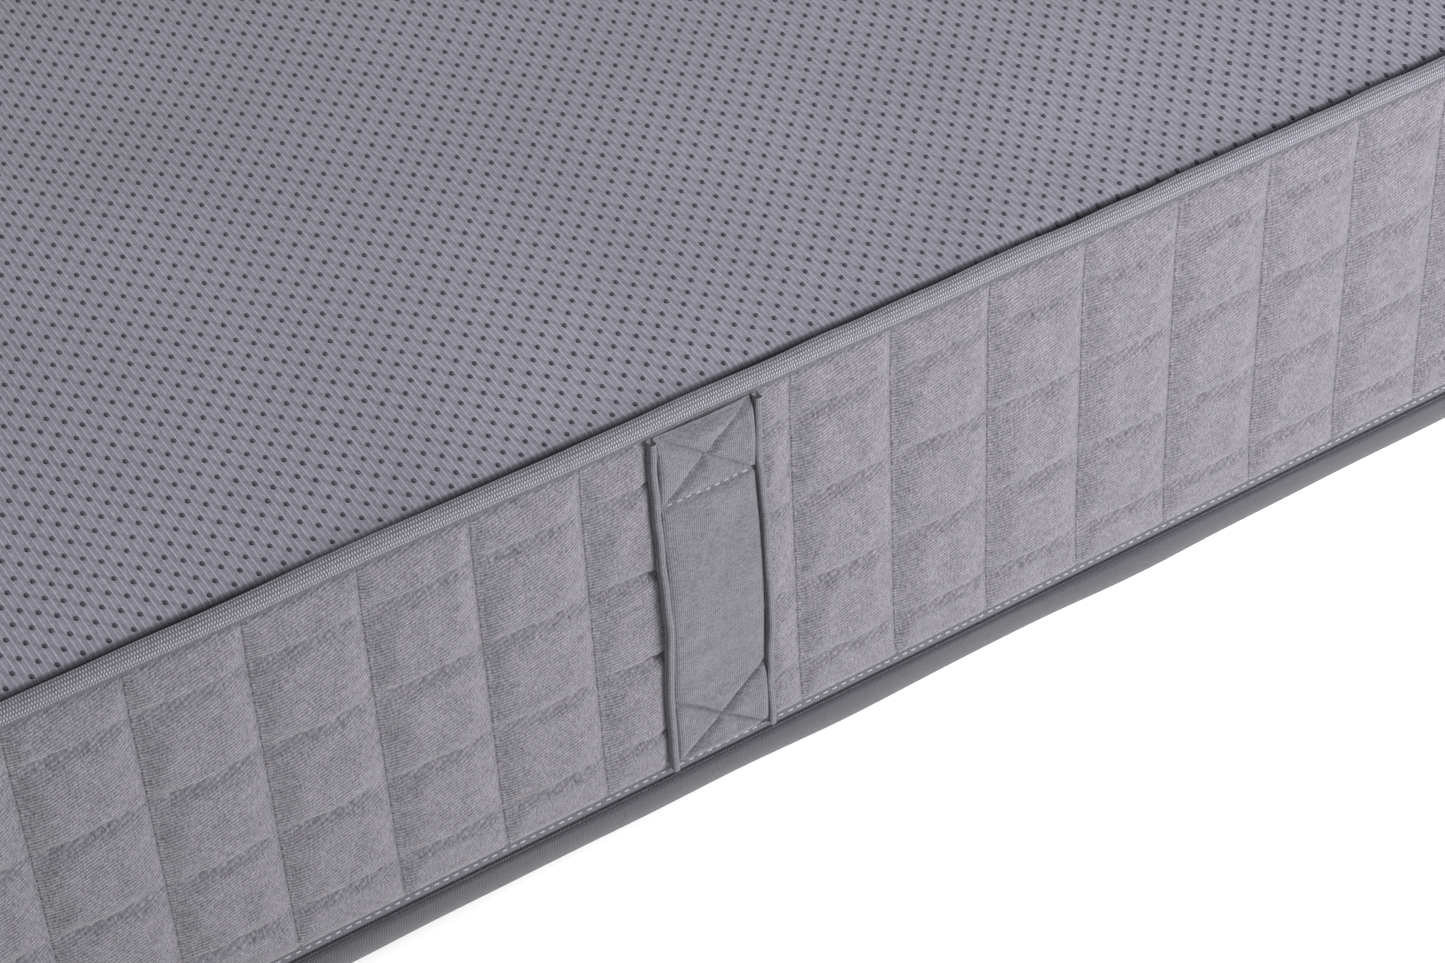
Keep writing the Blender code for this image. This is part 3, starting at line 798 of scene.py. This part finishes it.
def modelled(primitive, ends, **size):
    """A primitive with its ends drawn in, as points and faces in a fixed order, and the object taken away.

    Each end is the axis and the sign it faces, how far it is pulled out, or None, and its narrowing.
    """
    bpy.ops.object.select_all(action="DESELECT")
    primitive(**size)
    thing = bpy.context.object
    bpy.ops.object.transform_apply()
    bpy.ops.object.mode_set(mode="EDIT")
    for axis, sign, pull, narrowing in ends:
        bm = bmesh.from_edit_mesh(thing.data)
        for face in bm.faces:
            face.select_set(face.normal[axis] * sign > 0.9)
        bmesh.update_edit_mesh(thing.data)
        if pull:
            bpy.ops.mesh.extrude_region_move(TRANSFORM_OT_translate={"value": pull})
        bpy.ops.transform.resize(value=narrowing)
    bpy.ops.object.mode_set(mode="OBJECT")
    mesh = thing.data
    points = np.array([corner.co for corner in mesh.vertices], float)
    order = np.lexsort(points.round(7).T)
    rank = np.argsort(order).tolist()
    faces = [[rank[i] for i in face.vertices] for face in mesh.polygons]
    faces = sorted(face[face.index(min(face)):] + face[: face.index(min(face))] for face in faces)
    bpy.data.objects.remove(thing)
    bpy.data.meshes.remove(mesh)
    return points[order], faces


def copies_mesh(name, model, places, ways=None):
    """One mesh with a copy of the model at each place. ways are the copy's own three directions."""
    points, faces = model
    turned = points[None] if ways is None else np.einsum("pk,nkj->npj", points, ways)
    spread = turned + places[:, None]
    count = len(points)
    sizes = [len(face) for face in faces]
    flat = np.array([i for face in faces for i in face])
    loops = (flat[None] + count * np.arange(len(places))[:, None]).ravel()
    starts = np.concatenate([[0], np.cumsum(np.tile(sizes, len(places)))[:-1]])
    mesh = bpy.data.meshes.new(name)
    mesh.vertices.add(count * len(places))
    mesh.vertices.foreach_set("co", spread.astype(np.float32).ravel())
    mesh.loops.add(len(loops))
    mesh.loops.foreach_set("vertex_index", loops.astype(np.int32))
    mesh.polygons.add(len(starts))
    mesh.polygons.foreach_set("loop_start", starts.astype(np.int32))
    mesh.update(calc_edges=True)
    smooth(mesh)
    return mesh


dot_depth = DOT_HEIGHT + DOT_SUNK
DOT = modelled(
    bpy.ops.mesh.primitive_cylinder_add, [(2, 1, None, (0.62, 0.62, 1))],
    vertices=8, radius=DOT_RADIUS, depth=dot_depth, location=(0, 0, dot_depth / 2 - DOT_SUNK),
)
print("one dot has", len(DOT[1]), "faces")


# %% The dots' places
DOT_STRAY = 0.00007
DOT_MARGIN = 0.0016


def dot_places():
    """Rows of dots, every second row moved half a repeat, over the whole base panel."""
    reach_x = int(4 * HALF_LENGTH / DOT_REPEAT_X)
    reach_y = int(4 * HALF_WIDTH / DOT_REPEAT_Y)
    i, j = crossing(np.arange(-reach_x, reach_x), np.arange(-reach_y, reach_y))
    even = (i + j) % 2 == 0
    across = i[even] * DOT_REPEAT_X / 2
    along = j[even] * DOT_REPEAT_Y / 2
    x = DOT_START[0] + across * math.cos(DOT_TURN) - along * math.sin(DOT_TURN)
    y = DOT_START[1] + across * math.sin(DOT_TURN) + along * math.cos(DOT_TURN)
    draw = np.random.default_rng(4)
    x = x + draw.normal(0, DOT_STRAY, x.shape)
    y = y + draw.normal(0, DOT_STRAY, y.shape)
    inside = from_edge(x, y) > DOT_MARGIN
    x, y = x[inside], y[inside]
    return np.stack([x, y, base_level(x, y)], -1)


def grip_plastic():
    finish = Finish("grip_plastic", roughness=0.46)
    x, y, _ = finish.place()
    cloud = finish.cloud((x * 300, y * 300))
    colour = finish.mix(cloud, (0.03, 0.03, 0.042), (0.066, 0.066, 0.084))
    fine = finish.cloud((x * 2500, y * 2500), detail=1.0)
    return finish.done(colour, fine, 0.00005)


places = dot_places()
places = places[np.argsort(places[:, 0], kind="stable")]
GRIP_PLASTIC = grip_plastic()
for number, part in enumerate(np.array_split(places, DOT_PIECES), 1):
    name = f"grip_dots_{number}"
    add_piece(name, copies_mesh(name, DOT, part), GRIP_PLASTIC)
print(len(places), "grip dots")

# %% [markdown]
# ## The edge tape
# A woven tape is folded over the seam where the base panel meets the border, and its filling of seam
# allowance makes it bulge. It has a smooth selvedge on the panel's side, then rows of short raised threads,
# then a plain edge that is stitched down to the border. A curve with a round bevel would be too even, so
# the section is laid out as points with its ridges, and it swells and shrinks a little on its way round.
# %% Edge tape
TAPE_STEP = 0.0042
TAPE_ROWS = 6
CORD_RADIUS = 0.0042
CORD_DEPTH = 0.0024
CORD_LEVEL = tape_high[2] - CORD_RADIUS - 0.0008
ROW_START = math.radians(104)
ROW_END = math.radians(-42)
PIP_PITCH = 0.00118
SEW_LINE = math.radians(-54)
TAPE_SKIRT = BORDER_HIGH - 0.0002
SKIRT_STAND = 0.0007


def tape_weave():
    finish = Finish("tape_weave", roughness=0.8, sheen=0.1)
    u, v = finish.along_and_across()
    row_pitch = (ROW_START - ROW_END) * CORD_RADIUS / TAPE_ROWS
    low, high = ROW_END * CORD_RADIUS, ROW_START * CORD_RADIUS
    ribbed = finish.band(v, low, high, 0.0003)
    row = finish.near(v - low - row_pitch / 2, row_pitch, row_pitch * 0.55)
    row_number = finish.maths("FLOOR", (v - low) / row_pitch)
    pip = finish.wave(u + row_number * (PIP_PITCH / 2), PIP_PITCH)
    selvedge = finish.band(v, high + 0.0002, high + 0.0010, 0.0003)
    sewn = finish.near(v - SEW_LINE * CORD_RADIUS, 1.0, 0.0006)
    stitch = finish.near(u, 0.0034, 0.0013)
    thread = finish.wave(u + v * 0.4, 0.00072)
    cloud = finish.cloud((u * 260, v * 900))
    share = 0.1 + (cloud - 0.5) * 0.4 + thread * 0.12 + selvedge * 0.5
    share = share + ribbed * (row * pip * 1.2 - 0.1)
    colour = finish.mix(share, (0.055, 0.054, 0.066), (0.32, 0.313, 0.356))
    colour = finish.mix(sewn * (0.35 + 0.6 * stitch), colour, (0.07, 0.07, 0.085))
    height = ribbed * row * pip + thread * 0.15 + selvedge * 0.2 - sewn * 0.8
    return finish.done(colour, height, 0.00035)


def tape_mesh():
    runs = runs_round(TAPE_STEP, 24)
    angles = np.linspace(-math.pi, math.pi, 37)[:-1]
    share = np.clip((angles - ROW_END) / (ROW_START - ROW_END), 0, 1)
    ridge = 0.00016 * np.abs(np.sin(np.pi * share * TAPE_ROWS))
    step_down = 0.00035 * np.exp(-(((angles - SEW_LINE) / 0.16) ** 2))
    lip = 0.00022 * np.exp(-(((angles - ROW_START - 0.18) / 0.14) ** 2))
    radius = CORD_RADIUS - 0.0002 + ridge - step_down + lip
    lumps = 0.00011 * ruffle(runs, 0 * runs, 0.035, 31)
    sway = 0.00025 * ruffle(runs, 0 * runs, 0.09, 32)
    radius = radius[None] + lumps[:, None]
    below = angles < 0
    behind = np.where(angles > math.pi / 2, 0.45, 1.0)
    out = -CORD_DEPTH + behind * radius * np.cos(angles)
    skirt = below & (angles > -math.pi / 2 + 0.12)
    out = np.where(skirt, np.maximum(out, SKIRT_STAND), out) + sway[:, None]
    reach = np.where(below, CORD_LEVEL - TAPE_SKIRT, radius)
    level = CORD_LEVEL + reach * np.sin(angles) + lumps[:, None]
    level = np.minimum(level, tape_high[2])
    points = on_wall(runs[:, None], CORD_LEVEL, out)
    points[..., 2] = level
    uv = lattice(np.append(runs, ROUND), np.append(angles, math.pi) * CORD_RADIUS)
    return grid_mesh("woven_edge_tape", points, uv, round_u=True, round_v=True)


tape = add_piece("woven_edge_tape", tape_mesh(), tape_weave(), ["edge_tape"])

# %% [markdown]
# ## The sleeping panel
# The other panel is a padded knit tray with a big round edge, and the mattress lies on it here. It is one
# plate again, with rings that go from the flat face round the roll and up to the zip. Its edge gives a
# little where the wadding is uneven, so the points off the floor move in and out along their normals.
# %% Sleeping panel
SLEEP_TOP = panel_high[2]
ROLL_STEPS = 10
FLAT_RINGS = (-CORNER_RADIUS, -0.052, -0.045)
SLEEP_CLOTH = 0.0014


def sleep_rings():
    """From the flat face, round the roll, up to the zip and a little way in."""
    rings = [(out, 0.0) for out in FLAT_RINGS]
    for step in range(ROLL_STEPS + 1):
        turn = math.pi / 2 * (1 - step / ROLL_STEPS)
        rings.append((ROLL_RADIUS * (math.cos(turn) - 1), ROLL_RADIUS * (1 - math.sin(turn))))
    edge = SLEEP_TOP - ROLL_RADIUS
    return rings + [
        (-0.0001, ROLL_RADIUS + 0.55 * edge),
        (-0.0007, SLEEP_TOP - 0.0003),
        (-0.0016, SLEEP_TOP),
        (-0.0030, SLEEP_TOP - 0.0002),
    ]


def uneven(mesh, size, depth, above, seed):
    """Moves the points above a level in and out along their normals, by smooth uneven amounts."""
    bm = bmesh.new()
    bm.from_mesh(mesh)
    bm.normal_update()
    places = np.array([v.co for v in bm.verts])
    rise = ruffle(places[:, 0] + 2 * places[:, 2], places[:, 1] + 3 * places[:, 2], size, seed)
    share = np.clip((places[:, 2] - above) / 0.01, 0, 1)
    for v, amount in zip(bm.verts, depth * rise * share):
        v.co += v.normal * float(amount)
    bm.to_mesh(mesh)
    bm.free()


def sleep_knit():
    finish = Finish("sleep_knit", roughness=0.92, sheen=0.2)
    u, v = finish.along_and_across()
    colour, fibre = knit_ground(finish, u, v, (0.028, 0.027, 0.033), (0.058, 0.055, 0.066), 0.7)
    wale = finish.wave(u, 0.00115)
    course = finish.wave(v, 0.0009)
    colour = finish.mix(wale * course * 0.2, colour, (0.24, 0.235, 0.27))
    return finish.done(colour, fibre * 0.4 + wale * 0.4 + course * 0.2, 0.0003)


sleep_mesh = plate_mesh("knit_sleeping_panel", sleep_rings(), None, underside=True)
uneven(sleep_mesh, 0.10, 0.00035, 0.003, 41)
sleeping_panel = add_piece("knit_sleeping_panel", sleep_mesh, sleep_knit(), ["sleep_panel"])
give_wall(sleeping_panel, SLEEP_CLOTH)

# %% [markdown]
# ## The zip
# The zip goes right round, so that the cover comes off in two halves. A dark woven band is sewn along the
# border's lower edge with pale thread, and two rows of nylon coil lie under it. Stitches and coil turns
# repeat by the thousand, so each is modelled once, with few faces, and copied round the outline.
# %% Zip band
band_low, band_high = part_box("zip_tape_border")
BAND_DEPTH = 0.0006
BAND_CLOTH = 0.0009
BAND_STEP = 0.012


def zip_weave():
    finish = Finish("zip_weave", roughness=0.75, sheen=0.1)
    u, v = finish.along_and_across()
    rib = finish.wave(v, 0.0009)
    weft = finish.wave(u + rib * 0.0003, 0.0009)
    cloud = finish.cloud((u * 400, v * 900))
    colour = finish.mix(rib * 0.3 + weft * 0.35 + cloud * 0.35, (0.05, 0.05, 0.06), (0.15, 0.148, 0.175))
    return finish.done(colour, rib * weft + cloud * 0.3, 0.0003)


def band_mesh():
    """The band's outer face with two low ribs and its flat back, swept round the outline."""
    section = []
    for share in np.linspace(0, 1, 9):
        swell_out = 0.00018 * math.sin(math.pi * share) + 0.00007 * math.cos(4 * math.pi * share)
        section.append((-BAND_DEPTH + swell_out, band_low[2] + share * (band_high[2] - band_low[2])))
    back = -BAND_DEPTH - BAND_CLOTH
    out, level = np.array(section + [(back, band_high[2]), (back, band_low[2])]).T
    runs = runs_round(BAND_STEP, 14)
    points = on_wall(runs[:, None], level[None], out[None])
    gaps = np.hypot(np.diff(np.append(out, out[0])), np.diff(np.append(level, level[0])))
    uv = lattice(np.append(runs, ROUND), np.cumsum([0, *gaps]))
    return grid_mesh("woven_zip_band", points, uv, round_u=True, round_v=True)


add_piece("woven_zip_band", band_mesh(), zip_weave(), ["zip_tape_border"])


# %% One stitch, and rows of them
def places_round(pitch):
    """Even places right round the outline, about a pitch apart."""
    return np.arange(0, ROUND, ROUND / round(ROUND / pitch))


def ways_round(runs, level):
    """Along, up and out at places round the outline, for copies that lie on the wall."""
    small = 0.0005
    along = on_wall(runs + small, level) - on_wall(runs - small, level)
    along /= np.linalg.norm(along, axis=1, keepdims=True)
    up = np.tile([0.0, 0.0, 1.0], (len(runs), 1))
    return np.stack([along, up, np.cross(along, up)], 1)


def one_stitch(length, width):
    """A short thread that comes up out of the cloth, lies over it and goes down again."""
    ends = [(0, sign, (sign * width * 0.55, 0, -width * 0.45), (1, 0.5, 0.5)) for sign in (1, -1)]
    return modelled(
        bpy.ops.mesh.primitive_cylinder_add, ends,
        vertices=6, radius=width / 2, depth=length, end_fill_type="NGON", rotation=(0, math.pi / 2, 0),
    )


ZIP_STITCH = 0.0026
ZIP_STITCH_PITCH = 0.0045
ZIP_THREAD = 0.0007
STITCH_THREAD = speckled(
    "stitch_thread", 900, 1.0, (0.26, 0.24, 0.268), (0.44, 0.415, 0.455), 0.0001, roughness=0.6, sheen=0.2
)
stitch_level = band_low[2] + 0.62 * (band_high[2] - band_low[2])
stitch_runs = places_round(ZIP_STITCH_PITCH)
draw = np.random.default_rng(9)
stitch_runs = stitch_runs + draw.normal(0, 0.00012, stitch_runs.shape)
stitch_levels = stitch_level + draw.normal(0, 0.00008, stitch_runs.shape)
stitches = copies_mesh(
    "zip_band_stitches",
    one_stitch(ZIP_STITCH - ZIP_THREAD, ZIP_THREAD),
    on_wall(stitch_runs, stitch_levels, -BAND_DEPTH + 0.0003),
    ways_round(stitch_runs, stitch_level),
)
add_piece("zip_band_stitches", stitches, STITCH_THREAD)


# %% Coil turns
COIL_PITCH = 0.0013
COIL_STAND = 0.0004


def one_turn(height):
    """One turn of nylon coil as it shows from outside: a short upright bead, narrower in front."""
    return modelled(
        bpy.ops.mesh.primitive_cube_add, [(2, 1, None, (0.5, 0.72, 1))],
        size=1, scale=(COIL_PITCH * 0.62, height, 2 * COIL_STAND),
    )


COIL_PLASTIC = speckled(
    "coil_plastic", 600, 2.0, (0.03, 0.03, 0.036), (0.085, 0.085, 0.1), 0.00008, roughness=0.38
)
for name, node in (("coil_turns_panel", "zip_coil_panel"), ("coil_turns_border", "zip_coil_border")):
    low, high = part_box(node)
    middle = (low[2] + high[2]) / 2
    face = high[1] - HALF_WIDTH + LEAN * (low[2] - ROLL_RADIUS)
    runs = places_round(COIL_PITCH)
    turn = one_turn(high[2] - low[2])
    turns = copies_mesh(name, turn, on_wall(runs, middle, face), ways_round(runs, middle))
    add_piece(name, turns, COIL_PLASTIC)

# %% [markdown]
# ## The handles
# Each handle is a folded strap of dense knit with a bead rolled along each edge. Its ends are sewn down in
# boxes with a cross, where the thread pulls the cloth into creases, and between them it stands off the
# border in a shallow bow. Remeshing for a cloth simulation would wipe out the creases, so the strap is a
# fine grid that a few plain formulas press and lift.
# %% The handle's own shape
HANDLE_STEPS = 210
HANDLE_CELLS = 50
BOX_CROWN = 0.0022
CROWN_REACH = 0.0045
STRAP_CROWN = 0.0009
TUCK = 0.005
CREASE_DEPTH = 0.0017
CREASE_WIDTH = 0.0012
BOX_INSET = 0.0012
SIDE_PRESS = 0.0009
SIDE_REACH = 0.0011
HANDLE_LEVELS = np.linspace(BORDER_LOW + HANDLE_GAP, BORDER_HIGH - HANDLE_GAP, HANDLE_STEPS + 1)


def from_segment(x, y, start, end):
    """How far points lie from a straight line between two places."""
    run_x, run_y = end[0] - start[0], end[1] - start[1]
    share = ((x - start[0]) * run_x + (y - start[1]) * run_y) / (run_x**2 + run_y**2)
    share = np.clip(share, 0, 1)
    return np.hypot(x - start[0] - share * run_x, y - start[1] - share * run_y)


def strap_relief(aside, level, seed):
    """The creases of the two sewn boxes, the swell between them, and the strap's soft unevenness."""
    half = HANDLE_WIDTH / 2 - BOX_INSET
    relief = np.zeros(np.broadcast(aside, level).shape)
    free = 1.0
    for low, high, closed, inside in (
        (BORDER_LOW + BOX_INSET, BOX_FOOT, False, (BOX_FOOT - level) / 0.006),
        (BOX_HEAD, BORDER_HIGH - BOX_INSET, True, (level - BOX_HEAD) / 0.0008),
    ):
        lines = [((-half, low), (half, high)), ((half, low), (-half, high))]
        if closed:
            lines.append(((-half, low), (half, low)))
        off = np.min([from_segment(aside, level, *line) for line in lines], 0)
        inside = np.clip(inside, 0, 1)
        relief = relief + BOX_CROWN * inside * (1 - np.exp(-off / CROWN_REACH))
        relief = relief - CREASE_DEPTH * np.exp(-((off / CREASE_WIDTH) ** 2))
        free = free * (1 - inside)
    relief = relief + STRAP_CROWN * free * np.cos(np.pi * aside / HANDLE_WIDTH)
    to_side = HANDLE_WIDTH / 2 - np.abs(aside)
    relief = relief - SIDE_PRESS * np.exp(-((to_side / SIDE_REACH) ** 2))
    soft = 0.00028 * ruffle(aside, level, 0.022, seed) + 0.00012 * ruffle(aside, level, 0.008, seed + 1)
    return relief + soft * np.clip(to_side / 0.004, 0, 1)


def strap_mesh(name, middle, seed):
    aside = np.linspace(HANDLE_WIDTH / 2, -HANDLE_WIDTH / 2, HANDLE_CELLS + 1)
    level, across = crossing(HANDLE_LEVELS, aside)
    tucked = np.clip(np.minimum(BORDER_HIGH - level, level - BORDER_LOW) / TUCK, 0, 1) ** 0.6
    front = (HANDLE_CLOTH + strap_relief(across, level, seed)) * tucked
    behind = bow(level) + HANDLE_GAP
    off = np.concatenate([behind + np.maximum(front, 0.0005), behind], 1)
    across, level = (np.concatenate([half, half[:, ::-1]], 1) for half in (across, level))
    points = on_wall(middle + across, level, off)
    around = np.concatenate([aside, 2 * aside[-1] - aside[::-1], [2 * aside[-1] - aside[0] - 0.001]])
    return grid_mesh(name, points, lattice(HANDLE_LEVELS, around)[..., ::-1], round_v=True, ends=True)


def bead_mesh(name, middle, sign, centre):
    """The rolled edge: two thin rolls, one behind the other."""
    angles = np.linspace(0, 2 * math.pi, 19)
    radius = BEAD_RADIUS * (0.36 + 0.6 * np.sin(angles) ** 2 + 0.32 * np.sin(2 * angles) ** 2)
    beside = sign * (HANDLE_WIDTH / 2 + HANDLE_GAP + 0.75 * BEAD_RADIUS)
    level, wide = crossing(HANDLE_LEVELS, (radius * np.cos(angles))[:-1])
    sway = 0.00025 * ruffle(level, 0 * level + centre + 0.3 * sign, 0.03, 61)
    off = bow(level) + HANDLE_GAP + BEAD_RADIUS - (radius * np.sin(angles))[:-1]
    points = on_wall(middle + (beside + sway - wide), level, off)
    uv = lattice(HANDLE_LEVELS, angles * BEAD_RADIUS)[..., ::-1]
    return grid_mesh(name, points, uv, round_v=True, ends=True)


print("a strap's face has", HANDLE_STEPS, "by", HANDLE_CELLS, "cells")


# %% The handle's finish
WALE_PITCH = 0.00092


def handle_weave(name, crossed):
    finish = Finish(name, roughness=0.9, sheen=0.25)
    u, v = finish.along_and_across()
    colour, fibre = knit_ground(finish, v, u, (0.062, 0.059, 0.07), (0.176, 0.169, 0.194))
    wale = finish.wave(u, WALE_PITCH)
    course = finish.wave(v, 0.0008)
    colour = finish.mix(wale * (0.22 + 0.12 * course), colour, (0.115, 0.111, 0.133))
    height = fibre * 0.5 + wale * 0.5 + course * 0.15
    if crossed:
        for low, high in ((BORDER_LOW, BOX_FOOT), (BOX_HEAD, BORDER_HIGH)):
            middle, slope = (low + high) / 2, (high - low) / HANDLE_WIDTH
            inside = finish.band(v, low, high, 0.0005)
            for sign in (-1, 1):
                off = abs(v - middle + u * (sign * slope)) / (0.0007 * math.hypot(1, slope))
                line = finish.fade(off) * inside
                colour = finish.mix(line * 0.45, colour, (0.05, 0.048, 0.058))
                height = height - line * 0.8
    return finish.done(colour, height, 0.0003)


HANDLE_WEAVE = handle_weave("handle_weave", True)
BEAD_WEAVE = handle_weave("bead_weave", False)
print("handle weave", len(HANDLE_WEAVE.node_tree.nodes), "nodes, bead", len(BEAD_WEAVE.node_tree.nodes))


# %% Four handles, and the thread across the upper box
BOX_STITCH_PITCH = 0.0043
BOX_STITCH = 0.0019
BOX_THREAD = 0.00065


def box_stitches(name, middle, seed):
    """The dashed line of pale thread along the lower edge of a handle's upper box."""
    count = round((HANDLE_WIDTH - 0.006) / BOX_STITCH_PITCH)
    aside = (np.arange(count) - (count - 1) / 2) * BOX_STITCH_PITCH
    off = HANDLE_GAP + HANDLE_CLOTH + strap_relief(aside, BOX_HEAD + 0 * aside, seed) + 0.0004
    runs = middle + aside
    places = on_wall(runs, BOX_HEAD, off)
    return copies_mesh(name, one_stitch(BOX_STITCH, BOX_THREAD), places, ways_round(runs, BOX_HEAD))


for side, turned in (("front", False), ("rear", True)):
    for end, hand in (("left", -1), ("right", 1)):
        centre = -hand * HANDLE_X if turned else hand * HANDLE_X
        middle = HALF_ROUND + centre if turned else centre
        node = f"handle_{side}_{end}"
        title = f"{side}_{end}_handle"
        seed = 50 + 2 * turned + 4 * (centre > 0)
        cloth = strap_mesh(title, middle, seed)
        strap = add_piece(f"{title}_strap", cloth, HANDLE_WEAVE, [f"{node}_strap"])
        for edge, sign in (("left", -1), ("right", 1)):
            name = f"{title}_bead_{edge}"
            cloth = bead_mesh(name, middle, sign, centre)
            bead = add_piece(name, cloth, BEAD_WEAVE, [f"{node}_piping_{edge}"])
        name = f"{title}_stitches"
        add_piece(name, box_stitches(name, middle, seed), STITCH_THREAD)

# %% [markdown]
# ## The care label
# A small satin label hangs from the seam under the tape, on the rear side. It is blank here. A printed
# one would need lettering, and the cloth is what matters: it hangs over the pillows and curls a little.
# %% Care label
label_low, label_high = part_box("care_label")
LABEL_WIDTH = label_high[0] - label_low[0]
LABEL_LENGTH = label_high[2] - label_low[2]
LABEL_CLOTH = 0.0003


def label_mesh():
    across = np.linspace(-LABEL_WIDTH / 2, LABEL_WIDTH / 2, 19)
    down = np.linspace(LABEL_LENGTH, 0, 27)
    aside, drop = crossing(across, down)
    share = drop / LABEL_LENGTH
    off = 0.0008 + 0.0042 * np.sin(np.minimum(share * 3.2, 1) * math.pi / 2) + 0.0022 * share**3
    off += 0.0006 * np.sin(aside / LABEL_WIDTH * 5.0) * share
    run = HALF_ROUND - (label_low[0] + label_high[0]) / 2 + aside
    points = on_wall(run, label_high[2] - drop, off)
    return grid_mesh("satin_care_label", points, np.stack([aside, drop], -1))


def label_satin():
    finish = Finish("label_satin", roughness=0.42, sheen=0.2)
    u, v = finish.along_and_across()
    thread = finish.wave(u * 0.3 + v, 0.0005)
    cloud = finish.cloud((u * 90, v * 500))
    sewn = finish.near(v - 0.004, 1.0, 0.0004) * finish.near(u, 0.003, 0.0012)
    colour = finish.mix(0.5 + (cloud - 0.5) * 0.8 + thread * 0.2, (0.7, 0.7, 0.69), (0.84, 0.84, 0.83))
    colour = finish.mix(sewn, colour, (0.45, 0.44, 0.48))
    return finish.done(colour, thread * 0.5 + cloud * 0.3, 0.0001)


label = add_piece("satin_care_label", label_mesh(), label_satin(), ["care_label"])
give_wall(label, LABEL_CLOTH)

# %% [markdown]
# ## Metal, and what is inside the cover
# The slider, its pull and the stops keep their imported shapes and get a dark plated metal. Inside, the
# wadding, the liner, its elastic and three layers of foam each get their own finish too, because the
# cover comes off. Foam is open cells of several sizes, so its finish is cell noise on cell noise.
# %% Inner finishes and metal
def slider_metal():
    finish = Finish("slider_metal", roughness=0.32, metallic=1.0)
    cloud = finish.cloud(finish.spot(), scale=500, detail=3.0)
    worn = finish.cloud(finish.spot(), scale=120)
    colour = finish.mix(cloud, (0.11, 0.11, 0.125), (0.24, 0.24, 0.26))
    return finish.done(colour, cloud, 0.00005, roughness=0.22 + worn * 0.3)


def foam(name, dark, light, cell):
    finish = Finish(name, roughness=0.95)
    spot = finish.spot()
    cells = finish.add("ShaderNodeTexVoronoi", {"feature": "F1"}, {"Vector": spot, "Scale": 1 / cell})
    fine = finish.cloud(spot, scale=3 / cell)
    broad = finish.cloud(spot, scale=9.0)
    share = cells * 0.7 + fine * 0.35 + (broad - 0.5) * 0.3
    return finish.done(finish.mix(share, dark, light), cells + fine * 0.4, 0.0004)


def fibres(name, dark, light, length, thickness):
    """Felt, wadding and knit: matted threads, longer than they are thick."""
    finish = Finish(name, roughness=0.97, sheen=0.3)
    x, y, z = finish.place()
    one = finish.cloud((x / length, y / thickness, z / thickness), detail=3.0)
    two = finish.cloud((x / thickness, y / length, z / length), detail=3.0)
    return finish.done(finish.mix(one * 0.5 + two * 0.5, dark, light), one + two, 0.0004)


def ribbed_white(name, pitch):
    finish = Finish(name, roughness=0.9, sheen=0.2)
    x, y, z = finish.place()
    rib = finish.wave(x + y, pitch)
    course = finish.wave(z + x * 0.4, pitch * 0.8)
    cloud = finish.cloud((x * 150, y * 150, z * 150))
    colour = finish.mix(rib * 0.5 + cloud * 0.5, (0.62, 0.62, 0.6), (0.84, 0.84, 0.82))
    return finish.done(colour, rib * course + cloud * 0.3, 0.0003)


def nodes_with(word):
    return [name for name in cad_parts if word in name]


HIDDEN_LOOKS = (
    (slider_metal(), ["zip_slider", "zip_pull", "zip_start_stop", "zip_end_stop"]),
    (foam("memory_foam", (0.7, 0.69, 0.63), (0.88, 0.87, 0.82), 0.0012), ["memory_foam_layer"]),
    (foam("transition_foam", (0.36, 0.42, 0.47), (0.56, 0.62, 0.66), 0.0018), ["transition_foam_layer"]),
    (foam("core_foam", (0.62, 0.62, 0.58), (0.82, 0.82, 0.78), 0.0022), ["support_foam_core"]),
    (fibres("wadding_white", (0.66, 0.66, 0.65), (0.9, 0.9, 0.89), 0.012, 0.0012), nodes_with("wadding")),
    (fibres("patch_felt", (0.5, 0.5, 0.5), (0.78, 0.78, 0.78), 0.004, 0.0007), nodes_with("_patch")),
    (ribbed_white("liner_knit", 0.0012), ["inner_liner"]),
    (ribbed_white("elastic_white", 0.0008), ["liner_elastic"]),
    (COIL_PLASTIC, nodes_with("zip_coil")),
    (fibres("zip_weave_hidden", (0.05, 0.05, 0.06), (0.14, 0.14, 0.16), 0.003, 0.0006), ["zip_tape_panel"]),
)
for look, nodes in HIDDEN_LOOKS:
    for node in nodes:
        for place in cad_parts[node].material_slots:
            place.material = look
    print(look.name, "on", ", ".join(nodes))

# %% [markdown]
# ## The last update
# Cloth may stand a little proud of the imported solids, but the mattress keeps its size. The last lines
# clear the selection and bring the scene up to date.
# %% The last line
bpy.ops.object.select_all(action="DESELECT")
bpy.context.view_layer.update()
